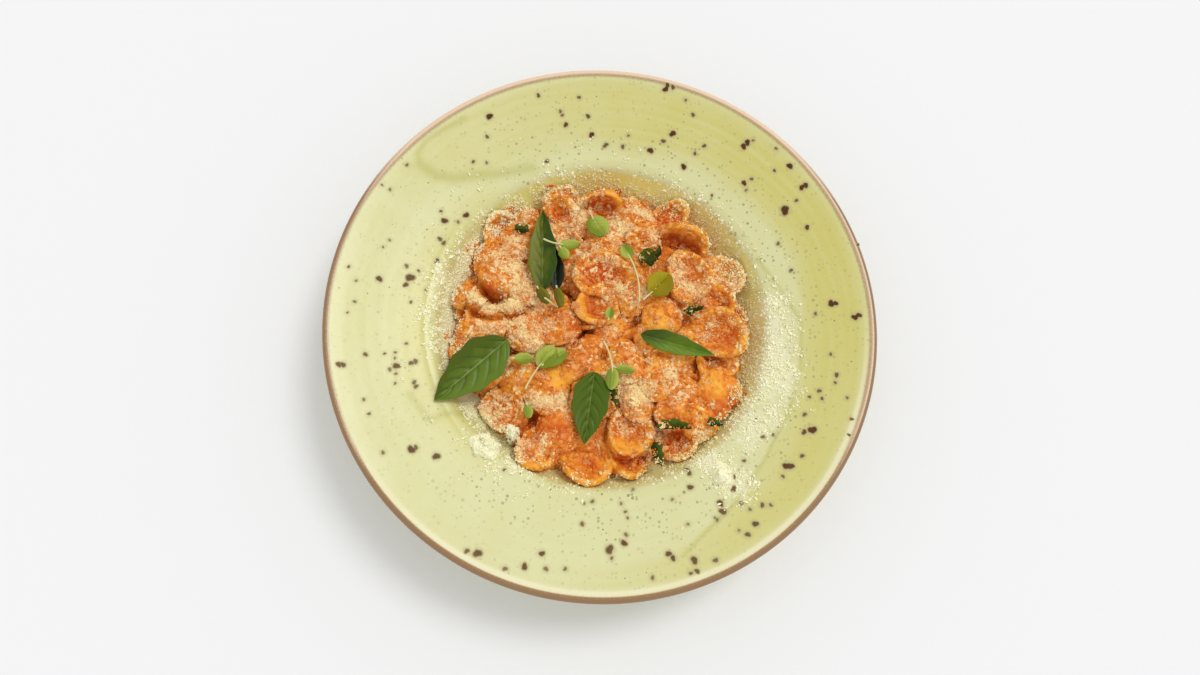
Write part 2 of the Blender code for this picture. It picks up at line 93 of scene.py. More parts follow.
# The marks that the brush left, each as points in millimetres and the width of the mark.
BRUSH_MARKS = (
    (((-74, 109), (-85, 102), (-94, 95), (-98, 87), (-96, 82), (-88, 78)), 1.6),
    (((-96, 82), (-88, 77), (-79, 76), (-67, 79), (-53, 81), (-38, 85)), 3.2),
    (((82, 35), (87, 28), (94, 16), (102, 2)), 1.2),
    (((103, 0), (101, -25), (94, -47), (79, -73), (62, -95), (48, -108), (38, -118)), 0.8),
    (((-96, -40), (-86, -53), (-77, -49), (-66, -49), (-60, -56)), 2.0),
)
# The lip as the glaze leaves it, as radii in millimetres: where the bead begins and ends, where the clay is
# bared, the middle of the worn line, and a radius past them all for what lies round the lip.
BEAD_FROM = (132.5, 134.0)
BEAD_TO = (135.3, 136.2)
CLAY_FROM = (135.6, 136.4)
WORN_LINE = 136.3
ROUND_THE_LIP = 150


def linear(hex_colour):
    """An sRGB colour as the light values that a shader takes."""
    shares = [int(hex_colour[i : i + 2], 16) / 255 for i in (1, 3, 5)]
    return (*[((c + 0.055) / 1.055) ** 2.4 if c > 0.04045 else c / 12.92 for c in shares], 1.0)


def new_material(name):
    material = bpy.data.materials.new(name)
    material.use_nodes = True
    return material


def fill(material, socket, value):
    """Links an input of a node to an output, or sets it to a value."""
    if isinstance(value, bpy.types.NodeSocket):
        material.node_tree.links.new(value, socket)
    else:
        socket.default_value = value


def add_node(material, kind, inputs=(), output=None, **settings):
    """Adds a node with its settings and its inputs in order. It gives the named output, or else the first."""
    node = material.node_tree.nodes.new("ShaderNode" + kind)
    for name, value in settings.items():
        setattr(node, name, value)
    for socket, value in zip([socket for socket in node.inputs if socket.enabled], inputs):
        fill(material, socket, value)
    return node.outputs[output] if output else next(socket for socket in node.outputs if socket.enabled)


def finish(material, colour, coats, settings, relief=None, strength=0.0, depth=0.0):
    """Ends a material: its coats of colour, each over the last by its share, its settings, and its relief."""
    for share, coat in coats:
        colour = add_node(material, "Mix", (share, colour, linear(coat)), data_type="RGBA")
    inputs = {"Base Color": colour, **settings}
    if relief:
        inputs["Normal"] = add_node(material, "Bump")
        for name, value in {"Height": relief, "Strength": strength, "Distance": depth}.items():
            fill(material, inputs["Normal"].node.inputs[name], value)
    for name, value in inputs.items():
        fill(material, material.node_tree.nodes["Principled BSDF"].inputs[name], value)
    return material


def bezier(start, corner, end, count):
    """Points on a quadratic curve that leaves start and reaches end along the lines through the corner."""
    share = np.linspace(0, 1, count)[:, None]
    start, corner, end = np.array(start), np.array(corner), np.array(end)
    return (1 - share) ** 2 * start + 2 * share * (1 - share) * corner + share**2 * end


def smooth_step(value, low, high):
    share = np.clip((value - low) / (high - low), 0, 1)
    return share * share * (3 - 2 * share)


def turns_round(count):
    """That many bearings in radians, evenly all round."""
    return np.linspace(0, 2 * math.pi, count, endpoint=False)


def skin_faces(rings, sides):
    """Faces of a closed skin whose points are one end, then rings that each run round, then the other end."""
    index = 1 + np.arange(rings * sides).reshape(rings, sides)
    beside = np.roll(index, -1, axis=1)
    quads = np.stack([index[:-1], index[1:], beside[1:], beside[:-1]], -1).reshape(-1, 4)
    last = rings * sides + 1
    start_fan = [(0, a, b) for a, b in zip(index[0].tolist(), beside[0].tolist())]
    end_fan = [(last, b, a) for a, b in zip(index[-1].tolist(), beside[-1].tolist())]
    return [*quads.tolist(), *start_fan, *end_fan]


def join_shapes(shapes):
    """Several (points, faces) as one."""
    points, faces, first = [], [], 0
    for shape_points, shape_faces in shapes:
        points.append(np.asarray(shape_points, float))
        faces += [tuple(i + first for i in face) for face in shape_faces]
        first += len(shape_points)
    return np.concatenate(points), faces


def new_piece(name, points, faces, material, slot, replaced=(), smooth=True, **values):
    """A piece that rides on the dish. Each of the values is kept with its points for the material to read."""
    mesh = bpy.data.meshes.new(name)
    mesh.from_pydata(np.asarray(points, float).tolist(), [], faces)
    for value_name, numbers in values.items():
        attribute = mesh.attributes.new(value_name, "FLOAT", "POINT")
        attribute.data.foreach_set("value", np.asarray(numbers, np.float32))
    mesh.materials.append(material)
    if smooth:
        mesh.shade_smooth()
    piece = bpy.data.objects.new(name, mesh)
    bpy.context.scene.collection.objects.link(piece)
    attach(piece, "root")
    if replaced:
        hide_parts(*replaced)
    return piece


def plate_height(radius):
    """Height of the glazed upper side at that radius: a flat floor, a wall that steepens, then the rim."""
    radius = np.asarray(radius, float)
    share = np.clip((radius - FLOOR_RADIUS) / (WELL_RADIUS - FLOOR_RADIUS), 0, 1) * WALL_REACH
    rise = 1 - (1 - share**WALL_STEEPNESS) ** (1 / WALL_STEEPNESS)
    full = 1 - (1 - WALL_REACH**WALL_STEEPNESS) ** (1 / WALL_STEEPNESS)
    wall = FLOOR_HEIGHT + (WELL_EDGE_HEIGHT - FLOOR_HEIGHT) * rise / full
    rim_slope = (RIM_HEIGHT - WELL_EDGE_HEIGHT) / (RIM_RADIUS - WELL_RADIUS)
    rim = WELL_EDGE_HEIGHT + rim_slope * (radius - WELL_RADIUS)
    return np.where(radius < WELL_RADIUS, wall, rim)


def plate_section():
    """Half section of the plate as radius and height, and how far round its lip each point is, 0 to 1."""
    edge = WELL_RADIUS - EDGE_ROUNDING
    well_radii = edge * np.sin(np.linspace(0, math.pi / 2, 30)[1:-1])
    well = np.stack([well_radii, plate_height(well_radii)], -1)
    crest_end = WELL_RADIUS + 2 * EDGE_ROUNDING
    crest = bezier(
        (edge, plate_height(edge)), (WELL_RADIUS, WELL_EDGE_HEIGHT), (crest_end, plate_height(crest_end)), 8
    )
    half_lip = LIP_THICKNESS / 2
    slope = math.atan2(RIM_HEIGHT - WELL_EDGE_HEIGHT, RIM_RADIUS - WELL_RADIUS)
    turns = np.linspace(math.pi / 2 + slope, slope - math.pi / 2, 24)
    lip = np.stack([np.cos(turns), np.sin(turns)], -1) * half_lip
    lip += (RIM_RADIUS - half_lip, RIM_HEIGHT - half_lip)
    rim_share = np.append(np.linspace(0, 0.93, 42)[1:], np.linspace(0.93, 1, 12)[1:-1])[:, None]
    rim = crest[-1] + (lip[0] - crest[-1]) * rim_share
    rim[:, 1] -= RIM_SAG * np.sin(math.pi * rim_share[:, 0] ** 3)
    rim[:, 1] += WELL_BEAD * np.exp(-(((rim[:, 0] - crest_end - 1.4 * MM) / (1.0 * MM)) ** 2))
    rim[:, 1] += TURNING_DEPTH * np.sin(rim[:, 0] / TURNING_PITCH)
    under_edge = WELL_RADIUS + 0.6 * PLATE_THICKNESS
    under_height = WELL_EDGE_HEIGHT - 0.8 * PLATE_THICKNESS
    corner = bezier(
        (under_edge + 4 * MM, under_height + 0.4 * MM),
        (under_edge, under_height - 0.4 * MM),
        (under_edge - 0.6 * MM, under_height - 4 * MM),
        7,
    )
    under_rim = corner[0] + (lip[-1] - corner[0]) * np.linspace(1, 0, 12)[1:-1, None]
    wall_foot = (FOOT_RADIUS, FOOT_HEIGHT + 1 * MM)
    wall = bezier(corner[-1], (WELL_RADIUS - 3 * MM, FOOT_HEIGHT + 4 * MM), wall_foot, 14)
    foot = [
        (FOOT_RADIUS - 0.3 * MM, 1.6 * MM),
        (FOOT_RADIUS - 0.5 * MM, 0.4 * MM),
        (FOOT_RADIUS - 1 * MM, 0.0),
        (FOOT_RADIUS - FOOT_WIDTH + 1 * MM, 0.0),
        (FOOT_RADIUS - FOOT_WIDTH, 0.8 * MM),
        (FOOT_RADIUS - FOOT_WIDTH - 1.5 * MM, FOOT_HEIGHT),
        (20 * MM, FOOT_HEIGHT + 0.4 * MM),
    ]
    section = np.concatenate([well, crest, rim, lip, under_rim, corner, wall[1:], foot])
    lip_start = len(well) + len(crest) + len(rim)
    round_lip = np.concatenate([np.zeros(lip_start), np.linspace(0, 1, len(lip))])
    return section, np.append(round_lip, np.ones(len(section) - len(round_lip)))


def lip_coats(radius, round_lip, outward):
    """How far the glaze is beaded, gone from the clay, and worn brown at each point, from 0 to 1.

    The glaze reaches that many millimetres further out over the lip."""
    reach = np.where(round_lip > 0, ROUND_THE_LIP, radius / MM) - outward
    clay = np.where(round_lip > 0, 1 - smooth_step(round_lip, 0.85, 1.0), smooth_step(reach, *CLAY_FROM))
    return {
        "bead": smooth_step(reach, *BEAD_FROM) * (1 - smooth_step(reach, *BEAD_TO)),
        "clay": clay,
        "worn": np.exp(-((reach - WORN_LINE) ** 2)),
        "side": smooth_step(round_lip, 0.02, 0.13) * (1 - smooth_step(round_lip, 0.9, 1.0)),
    }


def distance_to_line(points, line):
    """How far each point lies from a line through several places."""
    nearest = np.full(len(points), np.inf)
    for start, end in zip(np.array(line[:-1], float), np.array(line[1:], float)):
        along = np.clip((points - start) @ (end - start) / ((end - start) @ (end - start)), 0, 1)
        nearest = np.minimum(nearest, np.linalg.norm(points - start - along[:, None] * (end - start), axis=1))
    return nearest


def strokes_at(points, strokes):
    """The sum of soft strokes at each point. A stroke is two ends, a width in millimetres, and its amount."""
    flat = points[:, :2] / MM
    total = np.zeros(len(points))
    for x0, y0, x1, y1, width, amount in strokes:
        away = distance_to_line(flat, ((x0, y0), (x1, y1 + 0.01)))
        total += amount * np.exp(-((away / width) ** 2))
    return total


def brush_streaks(bearing, radius):
    """The fine streaks that a brush leaves on a turning plate, from -1 to 1."""
    draw = np.random.default_rng(STREAK_SEED)
    total = np.zeros_like(bearing)
    for turns in (1, 2, 2, 3, 4, 5, 6, 7):
        spacing = draw.uniform(2.5, 8.0)
        total += np.sin(turns * bearing + radius / spacing * 2 * math.pi + draw.uniform(0, 2 * math.pi))
    return total / 4


def glaze_coats(points, upper):
    """How thickly the olive coat, the pool in the well and the brush marks lie at each point, from 0 to 1.
    More olive on the left of the rim is painted shade, and the pool is partly painted warm light.
    """
    flat = points[:, :2] / MM
    radius = np.hypot(*flat.T)
    bearing = np.arctan2(flat[:, 1], flat[:, 0])
    table = np.array(OLIVE_COAT, float)
    inner, soft, strength = (np.interp(np.degrees(bearing), table[:, 0], table[:, i]) for i in (1, 2, 3))
    streaks = brush_streaks(bearing, radius)
    wander = 0.8 * np.sin(5 * bearing + 1) + 0.5 * np.sin(13 * bearing)
    edge = smooth_step(radius, inner + wander - soft, inner + wander + soft)
    thickening = smooth_step(radius, inner - 4, inner + 14)
    olive = strength * (0.5 * edge + 0.5 * thickening) * (1 - 0.35 * smooth_step(radius, 128, 135))
    # Painted shade: more olive on the inner rim at the left dims the key light's reflection there.
    left = smooth_step(-np.cos(bearing), 0.45, 0.95)
    olive += (0.14 + 0.60 * left) * np.exp(-(((radius - 88 - 4 * left) / (5 + 6 * left)) ** 2))
    streaked = olive * (0.92 + 0.08 * streaks) + 0.04 + (0.05 - 0.035 * left) * streaks
    # Painted warm light: the pool is strongest at the top of the wall, weakest at the bottom, and gone at the
    # left.
    pool_and_warm_light = (1 - smooth_step(radius, 84.2, 86.6)) * (0.55 + 0.28 * np.cos(bearing - 1.6)) * (1 - left)
    marks = [np.exp(-((distance_to_line(flat, line) / width) ** 2)) for line, width in BRUSH_MARKS]
    return {
        "olive": np.clip(np.where(upper, streaked, 0.35), 0, 1),
        "pooled": pool_and_warm_light * upper,
        "marks": np.maximum.reduce(marks) * upper,
    }


def glazed_stoneware():
    """Stoneware under a satin ash glaze: a pale skin with a soft sheen, browner where iron and clay show."""
    material = new_material("glazed stoneware")
    node = partial(add_node, material)
    place = node("TexCoord", output="Object")
    coats = ("olive", "pooled", "marks", "bleed", "run", "bead", "clay", "worn", "powder", "pitted")
    olive, pooled, marks, bleed, run, bead, clay, worn, powder, pitted = (
        node("Attribute", output="Fac", attribute_name=name) for name in coats
    )
    clouds = node("MapRange", (node("TexNoise", (place, 1 / (22 * MM), 3.0)), 0.35, 0.7, -0.08, 0.10))
    # Small iron dots, then fine grey-green flecks in drifts, drawn about 1 mm across so that they show. Each
    # row is the spacing, which share of the spots is left empty, how far the size of a spot grows, how soft
    # its edge is, and how strong it is.
    spots = []
    for spacing, empty, sizes, edge, most in (
        (3.4 * MM, 0.80, (-0.02, 0.13), (-0.02, 0.05), 0.7),
        (2.1 * MM, 0.40, (0.05, 0.42), (-0.10, 0.08), 0.85),
    ):
        away = node("TexVoronoi", (place, 1 / spacing))
        chance = node("SeparateColor", (away.node.outputs["Color"],))
        size = node("MapRange", (chance, empty, 1.0, *sizes))
        beyond = node("Math", (away, size), operation="SUBTRACT")
        spots.append(node("MapRange", (beyond, *edge, most, 0.0)))
    drifts = node("MapRange", (node("TexNoise", (place, 1 / (9 * MM), 2.0)), 0.38, 0.62, 0.25, 1.0))
    fleck_reach = node("Math", (pitted, drifts), operation="MULTIPLY")
    # The lip's brown, partly worn clay and partly painted shade, is streaked, and fine cheese lies like dust
    # where crumbs lie.
    streaky = node("TexNoise", (place, 1 / (0.9 * MM), 2.0))
    worn_and_shaded_edge = node("Math", (streaky, 0.5, worn), operation="MULTIPLY_ADD")
    dust = node("TexNoise", (place, 1 / (2.4 * MM), 5.0, 0.75))
    dusty = node("Math", (powder, 0.22, dust), operation="MULTIPLY_ADD")
    dust_amount = node("MapRange", (dusty, 0.55, 0.70, 0.0, 0.6))
    dust_reach = node("MapRange", (powder, 0.08, 0.4))
    height = node("SeparateXYZ", (place,), output="Z")
    layers = (
        (node("Math", (olive, clouds), operation="ADD", use_clamp=True), OLIVE_GLAZE),
        # Glaze pooled in the well, with painted warm light at the top of its wall.
        (pooled, POOLED_GLAZE_AND_WARM_LIGHT),
        # Painted light down the left wall of the well, lifting the heap's shadow.
        (run, LEFT_WALL_LIGHT_GLAZE),
        (node("Math", (marks, 0.55), operation="MULTIPLY"), BRUSH_GREEN),
        (node("Math", (bleed, 0.5), operation="MULTIPLY"), IRON_BLEED),
        (spots[0], IRON_BROWN),
        (node("Math", (spots[1], fleck_reach), operation="MULTIPLY"), FLECK_GREY),
        # The pale band inside the lip: partly glaze bead, partly painted highlight.
        (bead, BEAD_AND_HIGHLIGHT_GLAZE),
        (clay, LIP_CLAY),
        # Brown on the lip: partly worn bare clay, partly painted shade.
        (node("MapRange", (worn_and_shaded_edge, 0.32, 1.15, 0.0, 0.95)), LIP_DARK),
        (node("Math", (dust_amount, dust_reach), operation="MULTIPLY"), FINE_CHEESE),
        (node("MapRange", (height, 1.2 * MM, 1.8 * MM, 1.0, 0.0)), FOOT_CLAY),
    )
    peel = node("TexNoise", (place, 1 / (6 * MM), 2.0))
    return finish(material, linear(PALE_GLAZE), layers, {"Roughness": 0.27, "IOR": 1.5}, peel, 0.12, 0.5 * MM)


# The larger specks of iron that show on the rim: place and radius in millimetres.
IRON_SPECKS = (
    (-61, 111, 1.7), (-62, 100, 1.0), (-35, 124, 1.1), (-13, 124, 1.0), (-23, 116, 1.0), (-22, 114, 0.9),
    (-20, 109, 1.3), (-8, 114, 1.2), (-6, 104, 1.5), (2, 99, 1.1), (-69, 86, 0.9), (-62, 86, 0.8),
    (-30, 89, 1.1), (-103, 81, 0.9), (-115, 69, 0.7), (-111, 67, 0.8), (-83, 53, 1.6), (-72, 57, 1.5),
    (-76, 53, 0.9), (-85, 43, 1.2), (-83, 41, 1.2), (-86, 31, 1.3), (-129, 24, 0.8), (-114, 19, 1.5),
    (-101, 27, 1.1), (-99, 21, 2.1), (-101, 17, 1.3), (34, 129, 1.5), (35, 131, 1.3), (38, 130, 1.2),
    (45, 123, 0.8), (49, 115, 1.1), (38, 105, 1.7), (33, 101, 1.2), (26, 96, 1.6), (11, 98, 1.1),
    (14, 104, 0.8), (1, 98, 0.9), (44, 87, 1.5), (50, 94, 1.0), (55, 98, 1.1), (76, 97, 1.6), (78, 99, 1.6),
    (81, 100, 0.8), (93, 95, 0.9), (100, 85, 1.6), (92, 83, 0.9), (106, 73, 1.5), (108, 74, 1.4),
    (103, 66, 1.0), (97, 61, 2.4), (76, 77, 1.4), (80, 79, 1.0), (77, 73, 0.8), (59, 71, 0.8), (108, 51, 1.3),
    (93, 43, 1.0), (133, 40, 0.9), (99, 28, 1.0), (118, 9, 1.7), (120, 9, 1.4), (129, 1, 1.5), (131, 2, 1.4),
    (110, 4, 0.9), (-130, -27, 1.3), (-128, -27, 1.3), (-118, -21, 1.1), (-99, -14, 0.8), (-103, -26, 1.6),
    (-106, -28, 1.0), (-103, -30, 0.8), (-96, -24, 1.2), (-94, -23, 1.2), (-94, -34, 1.1), (-93, -36, 1.1),
    (-117, -44, 0.8), (-114, -51, 0.8), (-106, -70, 0.9), (-93, -68, 1.8), (-91, -67, 1.2), (-81, -71, 1.7),
    (-59, -117, 1.9), (-64, -116, 1.2), (-29, -117, 1.3), (-37, -123, 1.5), (-46, -124, 1.1),
    (-27, -124, 1.1), (-18, -124, 0.9), (-10, -103, 1.1), (-5, -92, 1.0), (-48, -77, 0.9), (116, -18, 0.9),
    (118, -29, 1.2), (117, -33, 0.8), (109, -37, 1.1), (110, -41, 0.9), (104, -40, 0.8), (122, -41, 0.8),
    (101, -49, 1.1), (104, -57, 2.0), (100, -58, 1.3), (123, -52, 0.9), (121, -60, 0.8), (98, -70, 1.1),
    (90, -75, 1.7), (92, -75, 1.7), (88, -80, 0.9), (80, -60, 1.0), (85, -59, 0.8), (70, -72, 0.9),
    (77, -51, 0.9), (64, -86, 1.4), (65, -80, 1.0), (42, -76, 1.2), (43, -78, 1.2), (43, -85, 1.4),
    (57, -93, 1.6), (58, -97, 1.7), (55, -101, 0.9), (67, -93, 1.1), (71, -96, 0.9), (77, -94, 1.2),
    (81, -94, 0.9), (73, -103, 1.5), (69, -108, 1.3), (43, -120, 1.7), (53, -120, 1.2), (41, -126, 0.9),
    (44, -125, 1.2), (31, -117, 1.4), (33, -119, 1.3), (23, -128, 1.0), (3, -115, 2.0), (10, -112, 1.5),
    (11, -108, 1.0), (4, -119, 0.8), (65, -106, 0.7), (54, -100, 0.7), (34, -91, 0.8), (41, -103, 0.7),
    (11, -97, 0.8), (12, -100, 0.7), (9, -93, 0.8), (15, -86, 0.8), (-9, -93, 0.7), (-110, 40, 0.7),
    (-113, 36, 0.6), (-125, 17, 0.7), (-95, 25, 0.8), (-91, 15, 0.7), (-98, 8, 0.8), (-125, 6, 0.8),
    (-128, 0, 0.6), (-109, -20, 0.7), (-104, -19, 0.7), (-104, -22, 0.7), (-103, -35, 0.7), (-85, 58, 0.8),
)

# Where grated cheese lies on the plate itself: the two ends of each stroke, its width in millimetres, and
# how thick it lies.
PLATE_CHEESE = (
    (-84, 25, -80, -14, 6, 1.0), (-77, 25, -78, 23, 3, 1.0), (0, 77, 40, 74, 6, 0.45),
    (45, 66, 70, 34, 6, 0.9), (70, 30, 78, 8, 5, 0.9), (78, 4, 84, -26, 7, 1.0), (82, -30, 70, -50, 7, 0.5),
    (50, -68, 66, -84, 7, 0.9), (44, -70, 30, -78, 5, 0.5), (20, -80, -20, -84, 7, 0.08),
    (-20, -84, -50, -80, 8, 0.12), (-46, -64, -42, -72, 4, 1.4), (-50, -56, -48, -60, 3, 1.2),
    (-66, -60, -50, -74, 5, 0.3), (-66, -45, -58, -54, 4, 1.4), (-56, 56, -28, 70, 5, 0.6),
    (-74, 38, -62, 52, 5, 0.5), (88, 10, 92, -34, 8, 0.8), (72, -62, 84, -50, 6, 0.7),
    (-30, 78, -10, 80, 5, 0.6), (-90, 5, -88, -12, 6, 0.3), (60, -60, 72, -44, 4, 0.5),
)

section, section_lip = plate_section()
plate_turns = turns_round(PLATE_SIDES)
ring_ways = np.stack([np.cos(plate_turns), np.sin(plate_turns), np.ones(PLATE_SIDES)], -1)
plate_rings = (section[:, None, [0, 0, 1]] * ring_ways).reshape(-1, 3)
plate_points = np.concatenate([[(0, 0, FLOOR_HEIGHT)], plate_rings, [(0, 0, FOOT_HEIGHT + 0.6 * MM)]])
plate_faces = skin_faces(len(section), PLATE_SIDES)
plate_upper = np.concatenate([[True], np.repeat(section_lip < 0.7, PLATE_SIDES), [False]])
plate_round = np.concatenate([[0.0], np.repeat(section_lip, PLATE_SIDES), [1.0]])
plate_x, plate_y, _ = plate_points.T
plate_radius = np.hypot(plate_x, plate_y)
plate_bearing = np.arctan2(plate_y, plate_x)
bleed = np.zeros(len(plate_points))
for speck_x, speck_y, speck_size in IRON_SPECKS:
    away = np.hypot(plate_x / MM - speck_x, plate_y / MM - speck_y)
    bleed = np.maximum(bleed, np.where(plate_upper, 1 - smooth_step(away, speck_size, speck_size + 1.6), 0))
# The lip is brown outside, except at the back, and all over its top at the front and left, where no line
# shows inside: partly worn bare clay, partly painted shade on the sides turned from the light. The glaze
# beads inside it mostly at the front left, and its pale band there is also a painted highlight.
front = 1 - smooth_step(np.sin(plate_bearing), -0.65, -0.25)
left_lip = smooth_step(-np.cos(plate_bearing), 0.75, 0.95)
plate_lip = lip_coats(plate_radius, plate_round, 0.8 * np.maximum(front, left_lip))
worn_line = plate_lip["worn"] * (0.62 - 0.50 * front)
worn_and_shaded_side = plate_lip.pop("side") * (1 - 0.9 * smooth_step(np.sin(plate_bearing), 0.35, 0.75))
worn_and_shaded_top = plate_lip["clay"] * np.maximum(0.9 * front, 0.72 * left_lip)
plate_lip["worn"] = np.maximum.reduce([worn_line, worn_and_shaded_side, worn_and_shaded_top])
# The bead's pale band is made strongest at the front, as a painted highlight.
plate_lip["bead"] *= 0.1 + 0.75 * smooth_step(np.cos(plate_bearing - math.radians(285)), 0.1, 0.75)
# The glaze is also painted paler down the left of the well, as painted light lifting the heap's shadow there.
at_left = smooth_step(-np.cos(plate_bearing), 0.3, 0.9)
run = 0.9 * plate_upper * at_left * (1 - smooth_step(plate_radius, 80 * MM, 85.5 * MM))
on_rim = smooth_step(plate_radius, 82 * MM, 88 * MM)
powder = np.where(plate_upper, strokes_at(plate_points, PLATE_CHEESE), 0)
far_out = smooth_step(plate_radius, 100 * MM, 126 * MM)
new_piece(
    "stoneware_plate",
    plate_points,
    plate_faces,
    glazed_stoneware(),
    "glaze",
    ["plate"],
    bleed=bleed,
    run=run,
    powder=powder * (0.25 + 0.75 * (on_rim * (1 - 0.7 * at_left))),
    pitted=plate_upper * on_rim * (1 - 0.45 * at_left) * (1 - 0.6 * far_out),
    **plate_lip,
    **glaze_coats(plate_points, plate_upper),
)

# Iron specks: grains of iron in the clay that melt into the glaze as it is fired and stand a hair proud of
# it. They are scattered over the whole plate, its underside too.
SPECK_RISE = 0.08 * MM
SPECK_DEPTH = 0.3 * MM
SPECK_SIDES = 16
SPECK_GROWTH = 1.12
# Each ring of a speck from its middle out, then back under it: its share of the size, how high it stands, and
# how thin the iron is there.
SPECK_RINGS = ((0.45, SPECK_RISE, 0.0), (0.75, 0.8 * SPECK_RISE, 0.25), (1.0, 0.4 * SPECK_RISE, 0.8))
SPECK_EDGE = ((1.2, -0.3 * SPECK_RISE, 1.0), (1.0, -SPECK_DEPTH, 1.0))
# How many waves run round the outline, and how deep they are.
SPECK_WAVES = ((2, 0.18), (3, 0.10), (5, 0.05))
HIDDEN_SPECKS = 80
# How far out the specks underneath lie, their bearing, and their size.
HIDDEN_RANGES = ((62, 132), (0, 2 * math.pi), (0.5, 1.6))
SPECK_SEED = 5
VEIL_SEED = 6
# The section ends with this many points of the foot ring, where no specks lie.
FOOT_POINTS = 7


def speck_shape(x, y, size, side, up, draw):
    """A flat blot with an uneven outline, sunk in that side of the plate, and how thin each point is."""
    turns = turns_round(SPECK_SIDES)
    ways = draw.uniform(0, 2 * math.pi, 3)
    waves = [depth * np.cos(count * turns + way) for (count, depth), way in zip(SPECK_WAVES, ways)]
    outline = sum(waves, 1)
    rings = [(0.0, SPECK_RISE, 0.0), *SPECK_RINGS, *SPECK_EDGE, (0.0, -SPECK_DEPTH, 1.0)]
    points, thin = [], []
    for share, rise, thinness in rings:
        for turn, reach in [(0.0, 0.0)] if share == 0 else zip(turns, outline):
            px = x + size * share * reach * math.cos(turn)
            py = y + size * share * reach * math.sin(turn)
            height = np.interp(math.hypot(px, py), side[:, 0], side[:, 1])
            points.append((px, py, float(height) + up * rise))
            thin.append(thinness)
    faces = skin_faces(len(rings) - 2, SPECK_SIDES)
    return points, [face[::-1] for face in faces] if up < 0 else faces, thin


upper_side = section[section_lip < 0.3]
under_start = int(np.argmax(section_lip >= 1.0))
under_side = section[under_start:-FOOT_POINTS][::-1]
speck_draw = np.random.default_rng(SPECK_SEED)
speck_shapes = [
    speck_shape(x * MM, y * MM, SPECK_GROWTH * size * MM, upper_side, 1, speck_draw)
    for x, y, size in IRON_SPECKS
]
for _ in range(HIDDEN_SPECKS):
    away, turn, size = (speck_draw.uniform(*reach) for reach in HIDDEN_RANGES)
    x, y = away * math.cos(turn) * MM, away * math.sin(turn) * MM
    speck_shapes.append(speck_shape(x, y, size * MM, under_side, -1, speck_draw))
# Small specks lie deeper in the glaze, and the pale coat at the front and left covers all of them there. Both
# look greyer.
veil_draw = np.random.default_rng(VEIL_SEED)
veils = []
for x, y, size in IRON_SPECKS:
    pale_side = smooth_step(math.cos(math.atan2(y, x) + math.radians(125)), -0.3, 0.4)
    small = 0.42 * (1 - smooth_step(size, 0.9, 1.5)) + 0.18 * (1 - smooth_step(size, 0.6, 0.9))
    veils.append(np.clip((small + 0.20 * pale_side) * veil_draw.uniform(0.7, 1.3), 0, 0.8))
veils += [0.0] * HIDDEN_SPECKS


def iron_in_glaze():
    """Iron in glaze is a dark, glassy brown that runs out into the glaze where the blot is thin."""
    material = new_material("iron in glaze")
    node = partial(add_node, material)
    grain = node("TexNoise", (node("TexCoord", output="Object"), 1 / (1.5 * MM), 2.0))
    veil, thin = (node("Attribute", output="Fac", attribute_name=name) for name in ("veil", "thin"))
    cover = node("Math", (veil, node("MapRange", (thin, 0.0, 0.6, 0.65, 1.15))), operation="MULTIPLY")
    faded = node("MapRange", (thin, 0.1, 0.95), interpolation_type="SMOOTHSTEP")
    coats = ((grain, "#6E4620"), (cover, "#B0A878"), (faded, "#C4B684"))
    return finish(material, linear("#341C06"), coats, {"Roughness": 0.35, "Specular IOR Level": 0.1})


speck_points, speck_faces = join_shapes([shape[:2] for shape in speck_shapes])
speck_thins = [thin for _, _, thin in speck_shapes]
new_piece(
    "iron_specks",
    speck_points,
    speck_faces,
    iron_in_glaze(),
    "glaze",
    thin=np.concatenate(speck_thins),
    veil=np.repeat(veils, [len(thin) for thin in speck_thins]),
)

# Orecchiette: small ears of semolina dough, each dragged with a knife and turned over the thumb, so that it
# has a thin hollow and a thick rolled rim. They are tossed in tomato sauce and heaped in the well, some
# hollow up and some back up.
Pasta = namedtuple("Pasta", "x y across up lean towards stretch")
